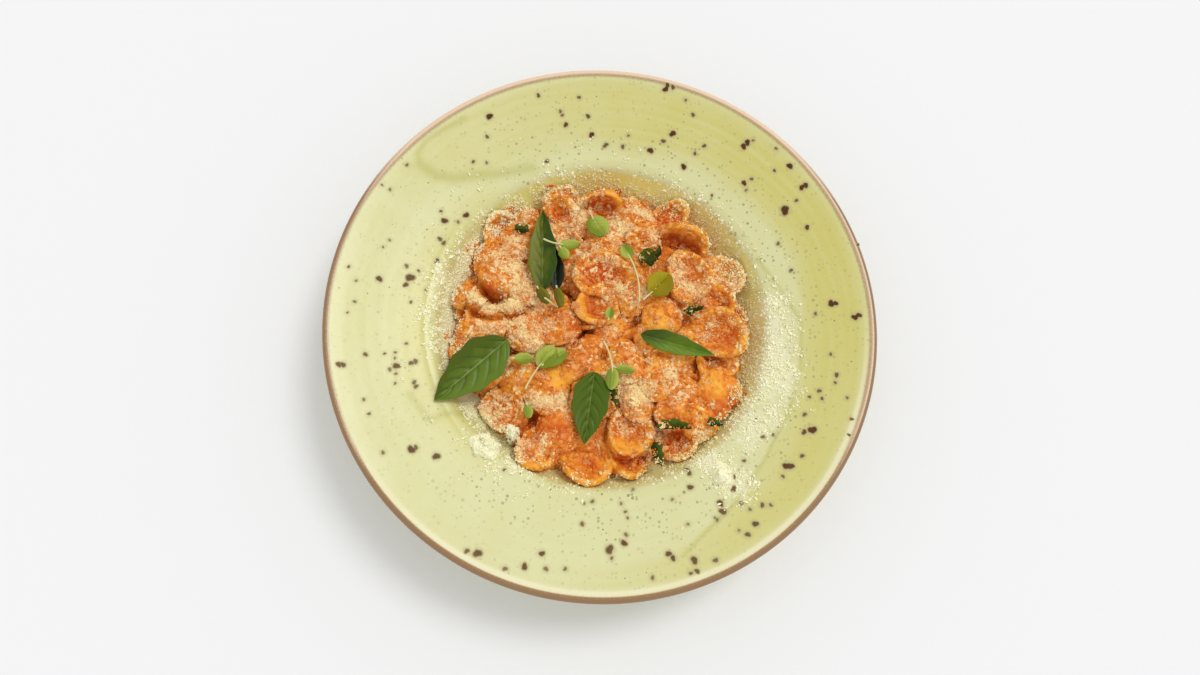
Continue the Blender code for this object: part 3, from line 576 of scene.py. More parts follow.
# Each piece that shows, in the order in which they are laid, the lowest first: its place and width in
# millimetres, which side is up, how far it leans and towards which bearing in degrees, and its stretch.
PASTA_ROWS = (
    (-70, 15, 19, "back", 25, 180, 0.1), (-61, -24, 24, "back", 12, 200, 0.1),
    (40, -11, 24, "back", 6, 0, 0.0), (60, -20, 22, "hollow", 20, 90, 0.0), (-6, -42, 24, "back", 5, 0, 0.1),
    (-9, -57, 22, "back", 8, 270, 0.0), (0, -28, 22, "back", 8, 60, 0.0), (27, -8, 22, "back", 8, 200, 0.0),
    (-30, -16, 22, "back", 8, 100, 0.0), (-44, 14, 22, "back", 8, 60, 0.0),
    (14, -68, 24, "hollow", 12, 80, 0.05), (-56, 55, 18, "hollow", 52, 315, -0.1),
    (-40, 57, 20, "back", 12, 110, 0.0), (-23, 62, 23, "hollow", 35, 230, 0.05),
    (-11, 60, 22, "back", 12, 100, 0.0), (-1, 68, 23, "hollow", 58, 270, -0.1),
    (17, 62, 25, "back", 12, 80, 0.1), (53, 38, 22, "back", 14, 40, 0.0),
    (38, 62, 22, "hollow", 28, 190, 0.05), (45, 48, 26, "hollow", 58, 250, -0.1),
    (34, 36, 22, "back", 10, 60, 0.0), (-28, 48, 24, "back", 8, 90, 0.1), (-30, 30, 24, "back", 6, 0, 0.05),
    (-14, 34, 22, "back", 10, 120, 0.0), (-45, 46, 23, "back", 10, 90, 0.05),
    (-58, 38, 23, "back", 14, 150, -0.06), (24, 50, 24, "back", 14, 60, 0.15),
    (20, 33, 22, "back", 6, 30, 0.0), (16, 16, 23, "back", 6, 200, 0.05),
    (62, 13, 21, "hollow", 26, 200, 0.0), (-32, 11, 25, "back", 8, 300, 0.15),
    (-59, 8, 28, "hollow", 14, 290, 0.1), (-50, 25, 28, "back", 10, 60, -0.1),
    (-71, -12, 17, "back", 26, 190, 0.1), (-63, -5, 25, "back", 12, 200, 0.1),
    (2, 45, 26, "back", 6, 60, 0.1), (0, 27, 29, "hollow", 10, 270, -0.15),
    (-38, -3, 26, "back", 8, 100, 0.05), (-21, 0, 24, "back", 8, 45, 0.05),
    (-3, 9, 24, "hollow", 15, 60, 0.05), (31, 4, 24, "back", 8, 80, 0.05),
    (61, -4, 30, "hollow", 14, 180, 0.06), (46, 27, 27, "hollow", 14, 300, 0.05),
    (12, -20, 24, "back", 8, 100, 0.05), (-12, -18, 25, "back", 18, 140, -0.25),
    (-44, -27, 24, "back", 12, 180, 0.1), (-28, -35, 27, "back", 8, 90, 0.1),
    (-22, -54, 26, "back", 6, 90, 0.1), (-50, -45, 24, "hollow", 15, 170, 0.05),
    (-33, -66, 22, "hollow", 16, 80, 0.05), (-8, -71, 28, "hollow", 16, 60, -0.08),
    (18, -38, 23, "back", 8, 90, 0.1), (14, -57, 26, "hollow", 18, 90, 0.05),
    (29, -28, 25, "back", 6, 90, 0.05), (38, -60, 23, "hollow", 20, 150, 0.1),
    (50, -52, 20, "back", 22, 300, 0.1), (40, -42, 27, "back", 8, 60, 0.1),
    (59, -36, 25, "back", 12, 350, -0.12),
)
PASTA = [Pasta(*row) for row in PASTA_ROWS]
CORE_TOP = 27.5 * MM
CORE_DROP = 8 * MM
CORE_ROUNDING = 2.6
CORE_RADIUS = 75.5 * MM
# Half section of a piece, from the middle of its hollow over the rim to the middle of its back, as shares
# of its radius: coarse to work out where it comes to rest, then fine as it shows.
CUP_RADII = (0.0, 0.50, 0.86, 1.0, 0.62, 0.0)
CUP_HEIGHTS = (-0.12, -0.02, 0.28, 0.08, -0.27, -0.36)
CUP_STEPS = 21
CUP_SIDES = 32
FINE_RADII = (
    0.08, 0.2, 0.36, 0.5, 0.6, 0.69, 0.77, 0.84, 0.91, 0.96, 1.0, 1.0, 0.96, 0.88, 0.76, 0.6, 0.4, 0.2, 0.08,
)
FINE_HEIGHTS = (
    -0.05, -0.045, -0.02, 0.03, 0.1, 0.18, 0.24, 0.275, 0.27, 0.23, 0.15, 0.06, -0.03, -0.11, -0.18, -0.26,
    -0.32, -0.35, -0.36,
)
FINE_STEPS = 36
FINE_SIDES = 68
# Which step of the fine section is the crest of the rim, how far the rim spreads, and where the hollow
# ends.
RIM_CREST = 8.5
RIM_SPREAD = 2.2
HOLLOW_END = 6.5
# The grit of the sauce on a piece: how high its lumps stand, how far across they are, and a seed.
PASTA_LUMPS = ((0.36 * MM, 2.8 * MM, 21), (0.20 * MM, 1.4 * MM, 22))
THREE_LOBES = 0.06
TWO_LOBES = 0.04
RIM_WAVE = 0.07
MOST_FOLD = 0.14
PRESSED_SHARE = 34
WALL_CLEARANCE = 0.6 * MM
BED_CELL = 1.5 * MM
BED_HALF = 66
BED_SOFTNESS = 8
LAYING_SEED = 11
TONE_SEED = 31
RIPPLE_WAVES = 18
SAUCE_IOR = 1.42


def core_height(radius):
    return CORE_TOP - CORE_DROP * (np.asarray(radius) / CORE_RADIUS) ** CORE_ROUNDING


def turn_of(pasta):
    """Turns a level piece with its hollow up into the way it lies."""
    flip = Matrix.Rotation(math.pi if pasta.up == "back" else 0.0, 3, "X")
    lean = Matrix.Rotation(math.radians(pasta.lean), 3, "Y")
    towards = Matrix.Rotation(math.radians(pasta.towards), 3, "Z")
    return np.array(towards @ lean @ flip)


def pasta_surface(pasta, ways, around, radii, heights):
    """Points of one piece about its middle, as it lies. Radii and heights are shares of its radius."""
    half = pasta.across / 2 * MM
    lobes = 1 + THREE_LOBES * np.cos(3 * around + ways[0]) + TWO_LOBES * np.cos(2 * around + ways[1])
    share = radii * lobes
    x = half * share * np.cos(around) * (1 + pasta.stretch)
    y = half * share * np.sin(around) * (1 - pasta.stretch)
    wave = RIM_WAVE * half * np.cos(2 * around + ways[2]) * share**2
    fold = ways[4] * half * (share * np.cos(around + ways[3])) ** 2
    return np.stack([x, y, half * heights + wave + fold], -1) @ turn_of(pasta).T


def new_bed():
    """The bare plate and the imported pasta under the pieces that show, as heights on a square grid."""
    steps = np.arange(-BED_HALF, BED_HALF + 1) * BED_CELL
    radius = np.hypot(*np.meshgrid(steps, steps, indexing="ij"))
    bare = plate_height(radius)
    return np.where(radius < CORE_RADIUS, np.maximum(core_height(radius), bare), bare)


def settle(pasta, ways, bed):
    """The height at which a piece rests, pressed into those below it. Its upper side joins the bed."""
    corners = np.arange(len(CUP_RADII))
    turns = turns_round(CUP_SIDES)
    around, along = (grid.ravel() for grid in np.meshgrid(turns, np.linspace(0, corners[-1], CUP_STEPS)))
    radii, heights = np.interp(along, corners, CUP_RADII), np.interp(along, corners, CUP_HEIGHTS)
    points = pasta_surface(pasta, ways, around, radii, heights)
    points[:, :2] += np.array([pasta.x, pasta.y]) * MM
    cells = np.clip(np.round(points[:, :2] / BED_CELL).astype(int) + BED_HALF, 0, 2 * BED_HALF)
    flat = cells[:, 0] * (2 * BED_HALF + 1) + cells[:, 1]
    below = np.full(bed.size, np.inf)
    np.minimum.at(below, flat, points[:, 2])
    under = np.isfinite(below)
    rest = np.percentile((bed.ravel() - below)[under], 100 - PRESSED_SHARE)
    clear = plate_height(np.hypot(points[:, 0], points[:, 1])) + WALL_CLEARANCE - points[:, 2]
    height = max(rest, clear.max())
    top = np.full(bed.size, -np.inf)
    np.maximum.at(top, flat, points[:, 2] + height)
    np.maximum(bed, top.reshape(bed.shape), out=bed)
    return height


def ripples(points, size, seed):
    """A smooth uneven field over the points, about -1 to 1, whose lumps are about that size across."""
    draw = np.random.default_rng(seed)
    total = np.zeros(len(points))
    for _ in range(RIPPLE_WAVES):
        way = draw.normal(size=3)
        way *= draw.uniform(0.6, 1.5) * math.pi / (size * np.linalg.norm(way))
        total += np.cos(points @ way + draw.uniform(0, 2 * math.pi))
    return total * math.sqrt(2 / RIPPLE_WAVES) / 1.6


def grid_normals(grid):
    """The direction that each point of a grid of rings faces, for rings that run round."""
    normals = np.cross(np.gradient(grid, axis=0), np.roll(grid, -1, axis=1) - np.roll(grid, 1, axis=1))
    return normals / np.maximum(np.linalg.norm(normals, axis=-1, keepdims=True), 1e-12)


# Where the cheese lies thick (above 0) or is missing (below 0), and where the sauce is redder or, below 0,
# where bare yellow dough and oil show.
CHEESE_STROKES = (
    (-50, 38, -38, 12, 8, 0.9), (-67, 13, -59, 8, 2.8, 1.6), (-59, 8, -45, 9, 2.8, 1.6),
    (-45, 0, -33, -15, 7, 0.9), (-22, 48, -12, 60, 6, 0.7), (-12, 66, -11, 66, 4, 0.6),
    (-52, 62, -40, 68, 4, 0.6), (5, 60, 12, 52, 3.5, 0.9), (17, 66, 25, 62, 4, 0.7), (14, 52, 26, 48, 6, 0.3),
    (62, 28, 68, 24, 3, 0.8), (10, 18, 18, 14, 4, 0.6), (42, 27, 50, 22, 4, 0.8), (8, -33, 18, -38, 7, 1.2),
    (37, -30, 45, -40, 8, 0.5), (-38, -42, -20, -42, 4, 0.9), (-62, -46, -56, -56, 5, 1.1),
    (50, -58, 56, -61, 3, 0.9), (28, -55, 29, -55, 4, 0.7), (22, -66, 27, -72, 3, 0.8),
    (-34, -62, -30, -66, 6, 0.5), (-56, -6, -62, 0, 7, 0.4), (10, -52, 12, -56, 5, 0.4),
    (46, 8, 52, 14, 6, 0.3), (2, 48, -8, 40, 7, 0.3), (59, -36, 60, -38, 9, -1.2),
    (36, -46, 42, -48, 6, -0.5), (-22, -29, -20, -32, 6, -0.8), (-36, -72, -28, -72, 4, -0.5),
    (-12, -76, 0, -74, 7, -0.6), (-34, -52, -22, -56, 6, -0.5), (30, 0, 32, -3, 6, -0.5),
    (-10, 12, -8, 2, 3, -0.7), (36, 54, 54, 44, 4, -0.25), (40, 68, 46, 60, 4, -0.7),
    (-6, 74, 8, 72, 4, -0.6), (8, -62, 22, -66, 4, -0.5), (-4, 35, 4, 37, 3, 0.3), (66, -10, 72, -4, 5, -0.5),
    (-64, 10, -70, 6, 3, -0.5), (-54, -44, -47, -44, 4, 0.5), (-67, 22, -56, 13, 2.5, -1.3),
    (-66, 4, -58, 1, 1.8, -1.2), (-58, 1, -40, 5, 1.8, -1.2),
)
SAUCE_STROKES = (
    (-5, 24, 6, 22, 8, 0.7), (33, 49, 50, 43, 3, 1.3), (36, 62, 42, 60, 5, 1.0), (-4, 67, 4, 66, 4, 1.1),
    (10, -70, 24, -70, 3.5, 1.4), (34, -61, 42, -58, 6, 0.8), (-49, -44, -47, -43, 4, 0.3),
    (-4, 8, -2, 4, 4, 0.8), (66, -8, 72, -2, 4, 0.6), (-58, 16, -66, 10, 4, 0.9),
    (-34, -52, -20, -56, 6, 0.9), (-28, 62, -18, 58, 4, 1.1), (58, -44, 68, -40, 5, 0.9),
    (-4, -73, -3, -73, 3, 0.8), (32, 42, 35, 30, 3, 1.0), (-22, 2, -14, -4, 5, 0.6),
    (14, -14, 10, -26, 6, 0.4), (-38, 36, -34, 30, 5, 0.4), (50, 32, 54, 27, 5, 0.5),
    (-12, -10, -8, -24, 5, 0.3), (30, -42, 33, -48, 4, 0.3), (18, -54, 12, -52, 5, 0.4),
    (-50, 30, -44, 34, 6, 0.4), (20, 40, 30, 52, 5, 0.3), (56, -30, 60, -33, 6, -0.8),
    (-22, -29, -20, -31, 5, -1.0), (30, 0, 34, -4, 5, -0.9), (42, 53, 56, 44, 3, -0.4),
    (44, 66, 47, 58, 3, -1.1), (-12, 12, -10, 2, 2.5, -1.0), (8, -64, 22, -65, 4, -1.2),
    (-36, -73, -28, -73, 3, -0.7), (-14, -80, 4, -80, 4, 0.5), (8, 2, 9, -1, 3, -0.8),
    (-42, -40, -40, -46, 3, -0.6), (-62, 60, -58, 50, 3, -0.8), (-60, -26, -70, -28, 5, -0.6),
    (4, 20, 10, 10, 4, -0.5), (30, 22, 36, 36, 3, -0.3), (54, 20, 60, 36, 4, -0.6),
)


def sauced_pasta():
    """Boiled semolina dough in tomato and cheese sauce: orange, wet, and gritty with grains of cheese."""
    material = new_material("sauced pasta")
    node = partial(add_node, material)
    place = node("TexCoord", output="Object")
    red, rim, dust, depth = (
        node("Attribute", output="Fac", attribute_name=name) for name in ("red", "rim", "dust", "depth")
    )
    blots = node("MapRange", (node("TexNoise", (place, 1 / (7 * MM), 3.0, 0.6)), 0.33, 0.67, -0.26, 0.36))
    redness = node("Math", (red, blots), operation="ADD")
    bare = node("MapRange", (redness, 0.05, -0.75, 0.0, 0.9))
    # Clots of cheese in the sauce about 2.6 mm apart, with grains of it 1.5 mm apart on them.
    grain = node("TexNoise", (place, 1 / (2.6 * MM), 3.5, 0.6))
    pale = node("MapRange", (grain, 0.49, 0.62, 0.0, 0.80))
    dark = node("MapRange", (grain, 0.47, 0.35, 0.0, 0.65))
    rough = node("MapRange", (dust, -0.2, 0.35, 0.30))
    crumbs = node("TexVoronoi", (place, 1 / (1.5 * MM)))
    kind = node("SeparateColor", (crumbs.node.outputs["Color"],))
    chosen = node("Math", (node("MapRange", (dust, 0.15, 1.2, 0.0, 0.95)), kind), operation="GREATER_THAN")
    layers = (
        (node("Math", (redness, 0.1), operation="ADD", use_clamp=True), "#CE540E"),
        (node("Math", (rim, bare), operation="MAXIMUM"), "#F8B034"),
        (node("Math", (pale, rough), operation="MULTIPLY"), "#FFC67C"),
        (node("Math", (dark, rough), operation="MULTIPLY"), "#A23C08"),
        (node("Math", (chosen, 0.8), operation="MULTIPLY"), "#FCE9B4"),
        # Painted shade: dark brown-red the deeper a point lies between the pieces.
        (node("MapRange", (depth, 0.0, 1.0, 0.0, 0.75)), "#8A3306"),
    )
    gritty = node("Math", (node("Math", (grain, crumbs), operation="SUBTRACT"), rough), operation="MULTIPLY")
    gloss = node("MapRange", (dust, -0.5, 0.5, 0.34, 0.55))
    settings = {"Roughness": gloss, "IOR": SAUCE_IOR, "Specular IOR Level": 0.22}
    return finish(material, linear("#F4982E"), layers, settings, gritty, 0.9, 0.6 * MM)


def pasta_shape(pasta, ways, height, steps, sides):
    """One piece as points and faces, and how near each point is to the rim and to the hollow, from 0 to 1."""
    order = np.arange(len(FINE_RADII))
    along = np.linspace(0, order[-1], steps)
    turns = turns_round(sides)
    around, radii = np.meshgrid(turns, np.interp(along, order, FINE_RADII))
    heights = np.interp(along, order, FINE_HEIGHTS)[:, None]
    middle = (pasta.x * MM, pasta.y * MM, height)
    grid = pasta_surface(pasta, ways, around, radii, heights) + middle
    flat = grid.reshape(-1, 3)
    lumps = sum(rise * ripples(flat, size, seed) for rise, size, seed in PASTA_LUMPS)
    flat = flat + grid_normals(grid).reshape(-1, 3) * lumps[:, None]
    ends = pasta_surface(pasta, ways, np.zeros(2), np.zeros(2), np.array(FINE_HEIGHTS)[[0, -1]]) + middle
    points = np.concatenate([ends[:1], flat, ends[1:]])
    rim = np.repeat(np.exp(-(((along - RIM_CREST) / RIM_SPREAD) ** 2)), sides)
    hollow = np.repeat(np.clip(1 - along / HOLLOW_END, 0, 1), sides)
    faces = skin_faces(steps, sides)
    return points, faces, np.concatenate([[0], rim, [0]]), np.concatenate([[1], hollow, [0]])


# Where one piece curls over itself at the left: the line of each crease or rolled edge, its width and how
# far it rises, all in millimetres.
CURLS = (
    (((-67, 22), (-62, 16), (-57, 13.5), (-50, 13)), 2.4, -3.4),
    (((-67, 13), (-61, 8), (-51.5, 7), (-44, 10)), 1.9, 2.0),
    (((-71, 8), (-64, 3), (-58, 1.5), (-47, 2.5), (-36, 8)), 1.6, -3.0),
)


def curl_rise(points):
    """How far the curled piece stands above the rest at each point or, below 0, sinks, in millimetres."""
    flat = points[:, :2] / MM
    return sum(rise * np.exp(-((distance_to_line(flat, line) / width) ** 2)) for line, width, rise in CURLS)


def softened(field, passes):
    for _ in range(passes):
        beside = sum(np.roll(field, shift, axis) for axis in (0, 1) for shift in (-1, 1))
        field = (field * 2 + beside) / 6
    return field


def sampled(field, x, y):
    """The bed's grid read between its cells."""
    gx, gy = x / BED_CELL + BED_HALF, y / BED_CELL + BED_HALF
    i, j = np.floor(gx).astype(int), np.floor(gy).astype(int)
    u, v = gx - i, gy - j
    low = field[i, j] * (1 - u) + field[i + 1, j] * u
    high = field[i, j + 1] * (1 - u) + field[i + 1, j + 1] * u
    return low * (1 - v) + high * v


def crevice(points):
    """How deep each point lies between the pieces round it, from 0 to 1, for the shade painted there. It
    fades where the heap ends.
    """
    level = sampled(soft_bed, points[:, 0], points[:, 1])
    inside = 1 - 0.75 * smooth_step(np.hypot(points[:, 0], points[:, 1]), 58 * MM, 72 * MM)
    return smooth_step(level - points[:, 2], -0.3 * MM, 2.5 * MM) * inside


def new_pasta(name, points, faces, red, rim, dust, depth):
    """A piece of pasta or sauce. The strokes make it redder or yellower, and grittier or barer of cheese.
    Its depth between the pieces is painted darker, as shade.
    """
    new_piece(
        name,
        points,
        faces,
        sauced,
        "pasta",
        ["orecchiette"],
        red=red + 0.8 * strokes_at(points, SAUCE_STROKES),
        rim=rim,
        dust=dust + strokes_at(points, CHEESE_STROKES) + 0.18 * ripples(points, 6 * MM, 23),
        depth=depth,
    )


bed = new_bed()
draw = np.random.default_rng(LAYING_SEED)
shapes, rims, reds = [], [], []
tone_draw = np.random.default_rng(TONE_SEED)
for pasta in PASTA:
    ways = [*draw.uniform(0, 2 * math.pi, 4), draw.uniform(0.0, MOST_FOLD)]
    height = settle(pasta, ways, bed)
    points, faces, rim, hollow = pasta_shape(pasta, ways, height, FINE_STEPS, FINE_SIDES)
    points[:, 2] += curl_rise(points) * MM
    shapes.append((points, faces))
    rims.append(rim * tone_draw.uniform(0.45, 1.0) * (1.0 if pasta.up == "hollow" else 0.35))
    reds.append(0.40 * hollow * (pasta.up == "hollow") + tone_draw.uniform(-0.34, 0.20))
soft_bed = softened(bed, BED_SOFTNESS)
sauced = sauced_pasta()
for up in ("hollow", "back"):
    chosen = [number for number, pasta in enumerate(PASTA) if pasta.up == up]
    points, faces = join_shapes([shapes[number] for number in chosen])
    red, rim = (np.concatenate([values[number] for number in chosen]) for values in (reds, rims))
    depth = np.clip(crevice(points) - 0.4 * curl_rise(points), 0, 1)
    new_pasta(f"orecchiette_{up}_up", points, faces, red, rim, 0.22, depth)

# The pasta underneath: more pieces of the same kind, packed in the well below those on top, with thick
# sauce and grated cheese run in between them all. Only parts of them show, in the gaps and round the edge.
FILLERS = 64
FILLER_SEED = 41
FILLER_REACH = 72
FILLER_STEPS = 16
FILLER_SIDES = 30
# How far across they are in millimetres, how far they lean and towards which bearing in degrees, and how
# they are stretched.
FILLER_RANGES = ((19, 24), (0, 22), (0, 360), (-0.1, 0.1))

filler_draw = np.random.default_rng(FILLER_SEED)
filler_shapes, filler_rims = [], []
for number in range(FILLERS):
    away = FILLER_REACH * math.sqrt((number + 0.5) / FILLERS)
    bearing = number * math.pi * (3 - math.sqrt(5))
    across, lean, towards, stretch = (filler_draw.uniform(*reach) for reach in FILLER_RANGES)
    up = ("back", "hollow")[number % 2]
    pasta = Pasta(away * math.cos(bearing), away * math.sin(bearing), across, up, lean, towards, stretch)
    ways = [*filler_draw.uniform(0, 2 * math.pi, 4), filler_draw.uniform(0.0, MOST_FOLD)]
    height = float(core_height(away * MM)) + filler_draw.uniform(-3.0, -0.5) * MM
    points, faces, rim, _ = pasta_shape(pasta, ways, height, FILLER_STEPS, FILLER_SIDES)
    wall = plate_height(np.hypot(points[:, 0], points[:, 1])) + WALL_CLEARANCE
    points[:, 2] += max(0.0, (wall - points[:, 2]).max())
    filler_shapes.append((points, faces))
    filler_rims.append(0.4 * rim)
filler = join_shapes(filler_shapes)
new_pasta("orecchiette_underneath", *filler, 0.15, np.concatenate(filler_rims), 0.1, 0.7 * crevice(filler[0]))

# Thick sauce: the tomato, oil and melted cheese that has run between the pieces and out onto the wall of
# the well.
SAUCE_RINGS = 130
SAUCE_SIDES = 340
SAUCE_REACH = 84 * MM
SAUCE_SINK = 2.9 * MM
SAUCE_EDGE = 0.3 * MM
SAUCE_UNDER = 0.8 * MM
GAP_DEPTH = 7
# The radii between which the sauce falls away under the pasta at the edge, and how far in millimetres.
SAUCE_FALL = ((70 * MM, 78 * MM), (0.0, 4.0))
# Sauce smeared on the wall of the well where a piece slid down it.
SMEARS = (
    (-30, 80, -20, 68, 4, 1.1), (-66, 60, -50, 62, 6, 1.2), (-72, 44, -62, 42, 5, 1.1),
    (-78, -8, -72, 2, 5, 1.1), (-70, 22, -66, 34, 5, 1.0), (70, 28, 66, 38, 4, 0.9),
    (72, -34, 66, -44, 4, 0.9), (0, 78, 10, 76, 4, 0.9),
)
# Deep gaps between pieces: place and size in millimetres.
DARK_GAPS = (
    (-65, 20, 3), (-68, 12, 3), (-52, 2, 3), (-11, -2, 3), (-40, 10, 4), (-30, 10, 3), (-16, 12, 4),
    (11, 14, 3), (54, 17, 4), (60, -20, 4), (-50, -28, 4), (-41, -48, 4), (-21, -46, 3), (22, -42, 3),
    (57, -50, 4), (-33, 40, 3), (24, 24, 3), (44, 10, 3), (-2, -50, 3), (30, -50, 3), (-14, 22, 3),
    (48, -20, 3), (2, -46, 3), (20, -4, 3),
)


def spread(field, pick):
    """The highest or lowest value of each cell of the bed's grid and those beside it."""
    for axis in (0, 1):
        field = pick.reduce([np.roll(field, shift, axis) for shift in (-1, 0, 1)])
    return field


filled = softened(spread(spread(bed, np.maximum), np.minimum), 1) - SAUCE_SINK
turns = turns_round(SAUCE_SIDES)
around, radii = np.meshgrid(turns, SAUCE_REACH * np.linspace(0.01, 1, SAUCE_RINGS))
x, y = radii * np.cos(around), radii * np.sin(around)
wall = plate_height(radii)
level = sampled(filled, x, y)
flat = np.stack([x, y, level], -1).reshape(-1, 3)
lumps = 0.45 * ripples(flat, 3 * MM, 24) + 0.25 * ripples(flat, 1.4 * MM, 25)
gaps = np.zeros(len(flat))
for gap_x, gap_y, gap_size in DARK_GAPS:
    away = np.hypot(flat[:, 0] / MM - gap_x, flat[:, 1] / MM - gap_y)
    gaps = np.maximum(gaps, np.exp(-((away / gap_size) ** 2)))
level = level + (lumps - GAP_DEPTH * gaps + curl_rise(flat)).reshape(level.shape) * MM
level = level - np.interp(radii, *SAUCE_FALL) * MM
smear = strokes_at(flat, SMEARS).reshape(level.shape)
film = wall + (1.9 * smear - 1.2 + 0.5 * ripples(flat, 3 * MM, 26).reshape(level.shape)) * MM
level = np.maximum(level, film)
level = np.where(level > wall, level, wall - SAUCE_EDGE)
level[-1] = wall[-1] - SAUCE_EDGE
sauce_under = np.stack([x, y, wall - SAUCE_UNDER], -1)[:0:-4]
sauce_rings = np.concatenate([np.stack([x, y, level], -1), sauce_under]).reshape(-1, 3)
sauce_points = np.concatenate([[(0, 0, level[0].mean())], sauce_rings, [(0, 0, FLOOR_HEIGHT - SAUCE_UNDER)]])
sauce = sauce_points, skin_faces(SAUCE_RINGS + len(sauce_under), SAUCE_SIDES)
new_pasta("thick_sauce", *sauce, 0.25, np.zeros(len(sauce_points)), 0.30, 0.8 * crevice(sauce_points))

# Basil: whole fresh leaves laid on the hot pasta, glossy and puffed up between their veins. One is folded
# along its midrib, and an old dark leaf is tucked under it.
Leaf = namedtuple("Leaf", "name x y bearing length width stem bend across along")
# Each is listed with its stalk end, the way it points, its length with the stem and its width in
# millimetres, how much of it is bare stem, how far it bends on the way in degrees, and how many cells it
# has across and along.
BASIL = [
    Leaf(*row)
    for row in (
        ("basil_leaf_dark", -24, 17, 92, 24, 9, 0, 0, 20, 44),
        ("basil_leaf_folded", -31, 16, 91, 45, 15, 0, 0, 28, 72),
        ("basil_leaf_left", -49, -11, 223, 47, 25, 0, 0, 40, 80),
        ("basil_leaf_right", 20, -7, 345, 39, 11, 0, 0, 28, 64),
        ("basil_leaf_front", -4, -27, 262, 37, 19, 0, 0, 36, 64),
    )
]
LEAF_THICKNESS = 0.35 * MM
# How often a leaf is smoothed as it settles on what lies under it.
BASIL_SETTLING = 40
VEIN_PAIRS = 6.0
VEIN_SWEEP = 0.30
VEIN_CURVE = 1.4
# By what share of their spacing the side veins are moved: towards the stalk on the left and away from it on
# the right, and then all of them towards the stalk.
VEIN_STAGGER = 0.2
VEIN_START = 0.3
MIDRIB_WIDTH = 1.1 * MM
MIDRIB_DEPTH = 0.70
EDGE_DROOP = 0.35
EDGE_WAVE = 0.05
EDGE_WAVES = 23
PUFF = 0.7
PUFFED_WIDTH = 19
FLAT_WIDTH = 4 * MM
SHEET_INSET = 0.98
ABOVE_ALL = 100 * MM
ABOVE_FOOD = 40 * MM
# How full the outline of a leaf is, and how far along it is widest: of cress, then of basil.
OVALS = {True: (0.5, 1.0), False: (0.82, 0.72)}


def leaf_half_width(leaf, along):
    """Half the width of a leaf at each share of its length, the stem first."""
    stem_share = leaf.stem / leaf.length
    blade = np.clip((along - stem_share) / (1 - stem_share), 0, 1)
    fullness, fattest = OVALS[leaf.name.startswith("cress")]
    return np.maximum(leaf.width * np.sin(math.pi * blade**fattest) ** fullness, 0.0) / 2 * MM


def leaf_place(leaf, along, side):
    """Where a point of a leaf lies in plan: that share of its length along, and that far from its midrib."""
    turn = np.radians(leaf.bearing + leaf.bend * along)
    chord = np.radians(leaf.bearing + leaf.bend * along / 2)
    ahead = along * leaf.length * MM
    x = leaf.x * MM + ahead * np.cos(chord) - side * np.sin(turn)
    y = leaf.y * MM + ahead * np.sin(chord) + side * np.cos(turn)
    return x, y


def tree_of(points, faces):
    """Points and faces as a surface that a ray can be cast on."""
    return BVHTree.FromPolygons([tuple(point) for point in points], faces)


def node_tree(name):
    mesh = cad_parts[name].data
    return tree_of([vertex.co for vertex in mesh.vertices], [tuple(face.vertices) for face in mesh.polygons])


def straight_down(tree, x, y):
    """The highest place there and the way it faces."""
    return tree.ray_cast(Vector((x, y, ABOVE_ALL)), Vector((0, 0, -1)))[:2]


def tops(tree, x, y):
    """Height of the upper side at each place, or at the nearest place that has one."""
    heights = []
    for px, py in zip(x.flat, y.flat):
        place, _ = straight_down(tree, px, py)
        if place is None:
            place = tree.find_nearest(Vector((px, py, ABOVE_FOOD)))[0]
        heights.append(place.z)
    return np.reshape(heights, x.shape)


def vein_distance(along, across):
    """How far a point is from the nearest side vein, from 0 on it to 0.5 midway between two."""
    phase = (along - VEIN_SWEEP * np.abs(across) ** VEIN_CURVE) * VEIN_PAIRS
    phase = phase + VEIN_STAGGER * np.sign(across) + VEIN_START
    return np.abs(phase - np.round(phase))


def leaf_sheet(leaf, tree, settle_passes):
    """A leaf as a fine sheet on the upper side of its solid, sunk at the veins and puffed up between them."""
    steps = np.linspace(0, 1, leaf.along + 1)
    steps = 0.4 * steps + 0.6 * (1 - np.cos(math.pi * steps)) / 2
    along, across = np.meshgrid(steps, np.linspace(-1, 1, leaf.across + 1), indexing="ij")
    half = leaf_half_width(leaf, along)
    wavy = 1 + EDGE_WAVE * np.sin(along * EDGE_WAVES + leaf.x) * np.abs(across) ** 3
    x, y = leaf_place(leaf, along, across * half * wavy * SHEET_INSET)
    z = tops(tree, x, y)
    for _ in range(settle_passes):
        inner = (z[2:, 1:-1] + z[:-2, 1:-1] + z[1:-1, 2:] + z[1:-1, :-2]) / 4
        z[1:-1, 1:-1] = z[1:-1, 1:-1] * 0.4 + inner * 0.6
        for edge in (0, -1):
            z[1:-1, edge] = z[1:-1, edge] * 0.4 + (z[2:, edge] + z[:-2, edge]) * 0.3
    near_midrib = np.exp(-((across * half / MIDRIB_WIDTH) ** 2))
    between = smooth_step(vein_distance(along, across), 0.03, 0.30) * (1 - across**2 * 0.6)
    puff = PUFF * min(1.0, (leaf.width / PUFFED_WIDTH) ** 2) * between * (1 - np.abs(across))
    relief = puff - MIDRIB_DEPTH * near_midrib - EDGE_DROOP * np.abs(across) ** 4
    z += relief * MM * np.clip(half / FLAT_WIDTH, 0, 1)
    cells = np.arange(along.size).reshape(along.shape)
    quads = np.stack([cells[:-1, :-1], cells[1:, :-1], cells[1:, 1:], cells[:-1, 1:]], -1).reshape(-1, 4)
    points = np.stack([x, y, z - LEAF_THICKNESS / 2], -1).reshape(-1, 3)
    return points, quads.tolist(), {"along": along.ravel(), "across": across.ravel()}


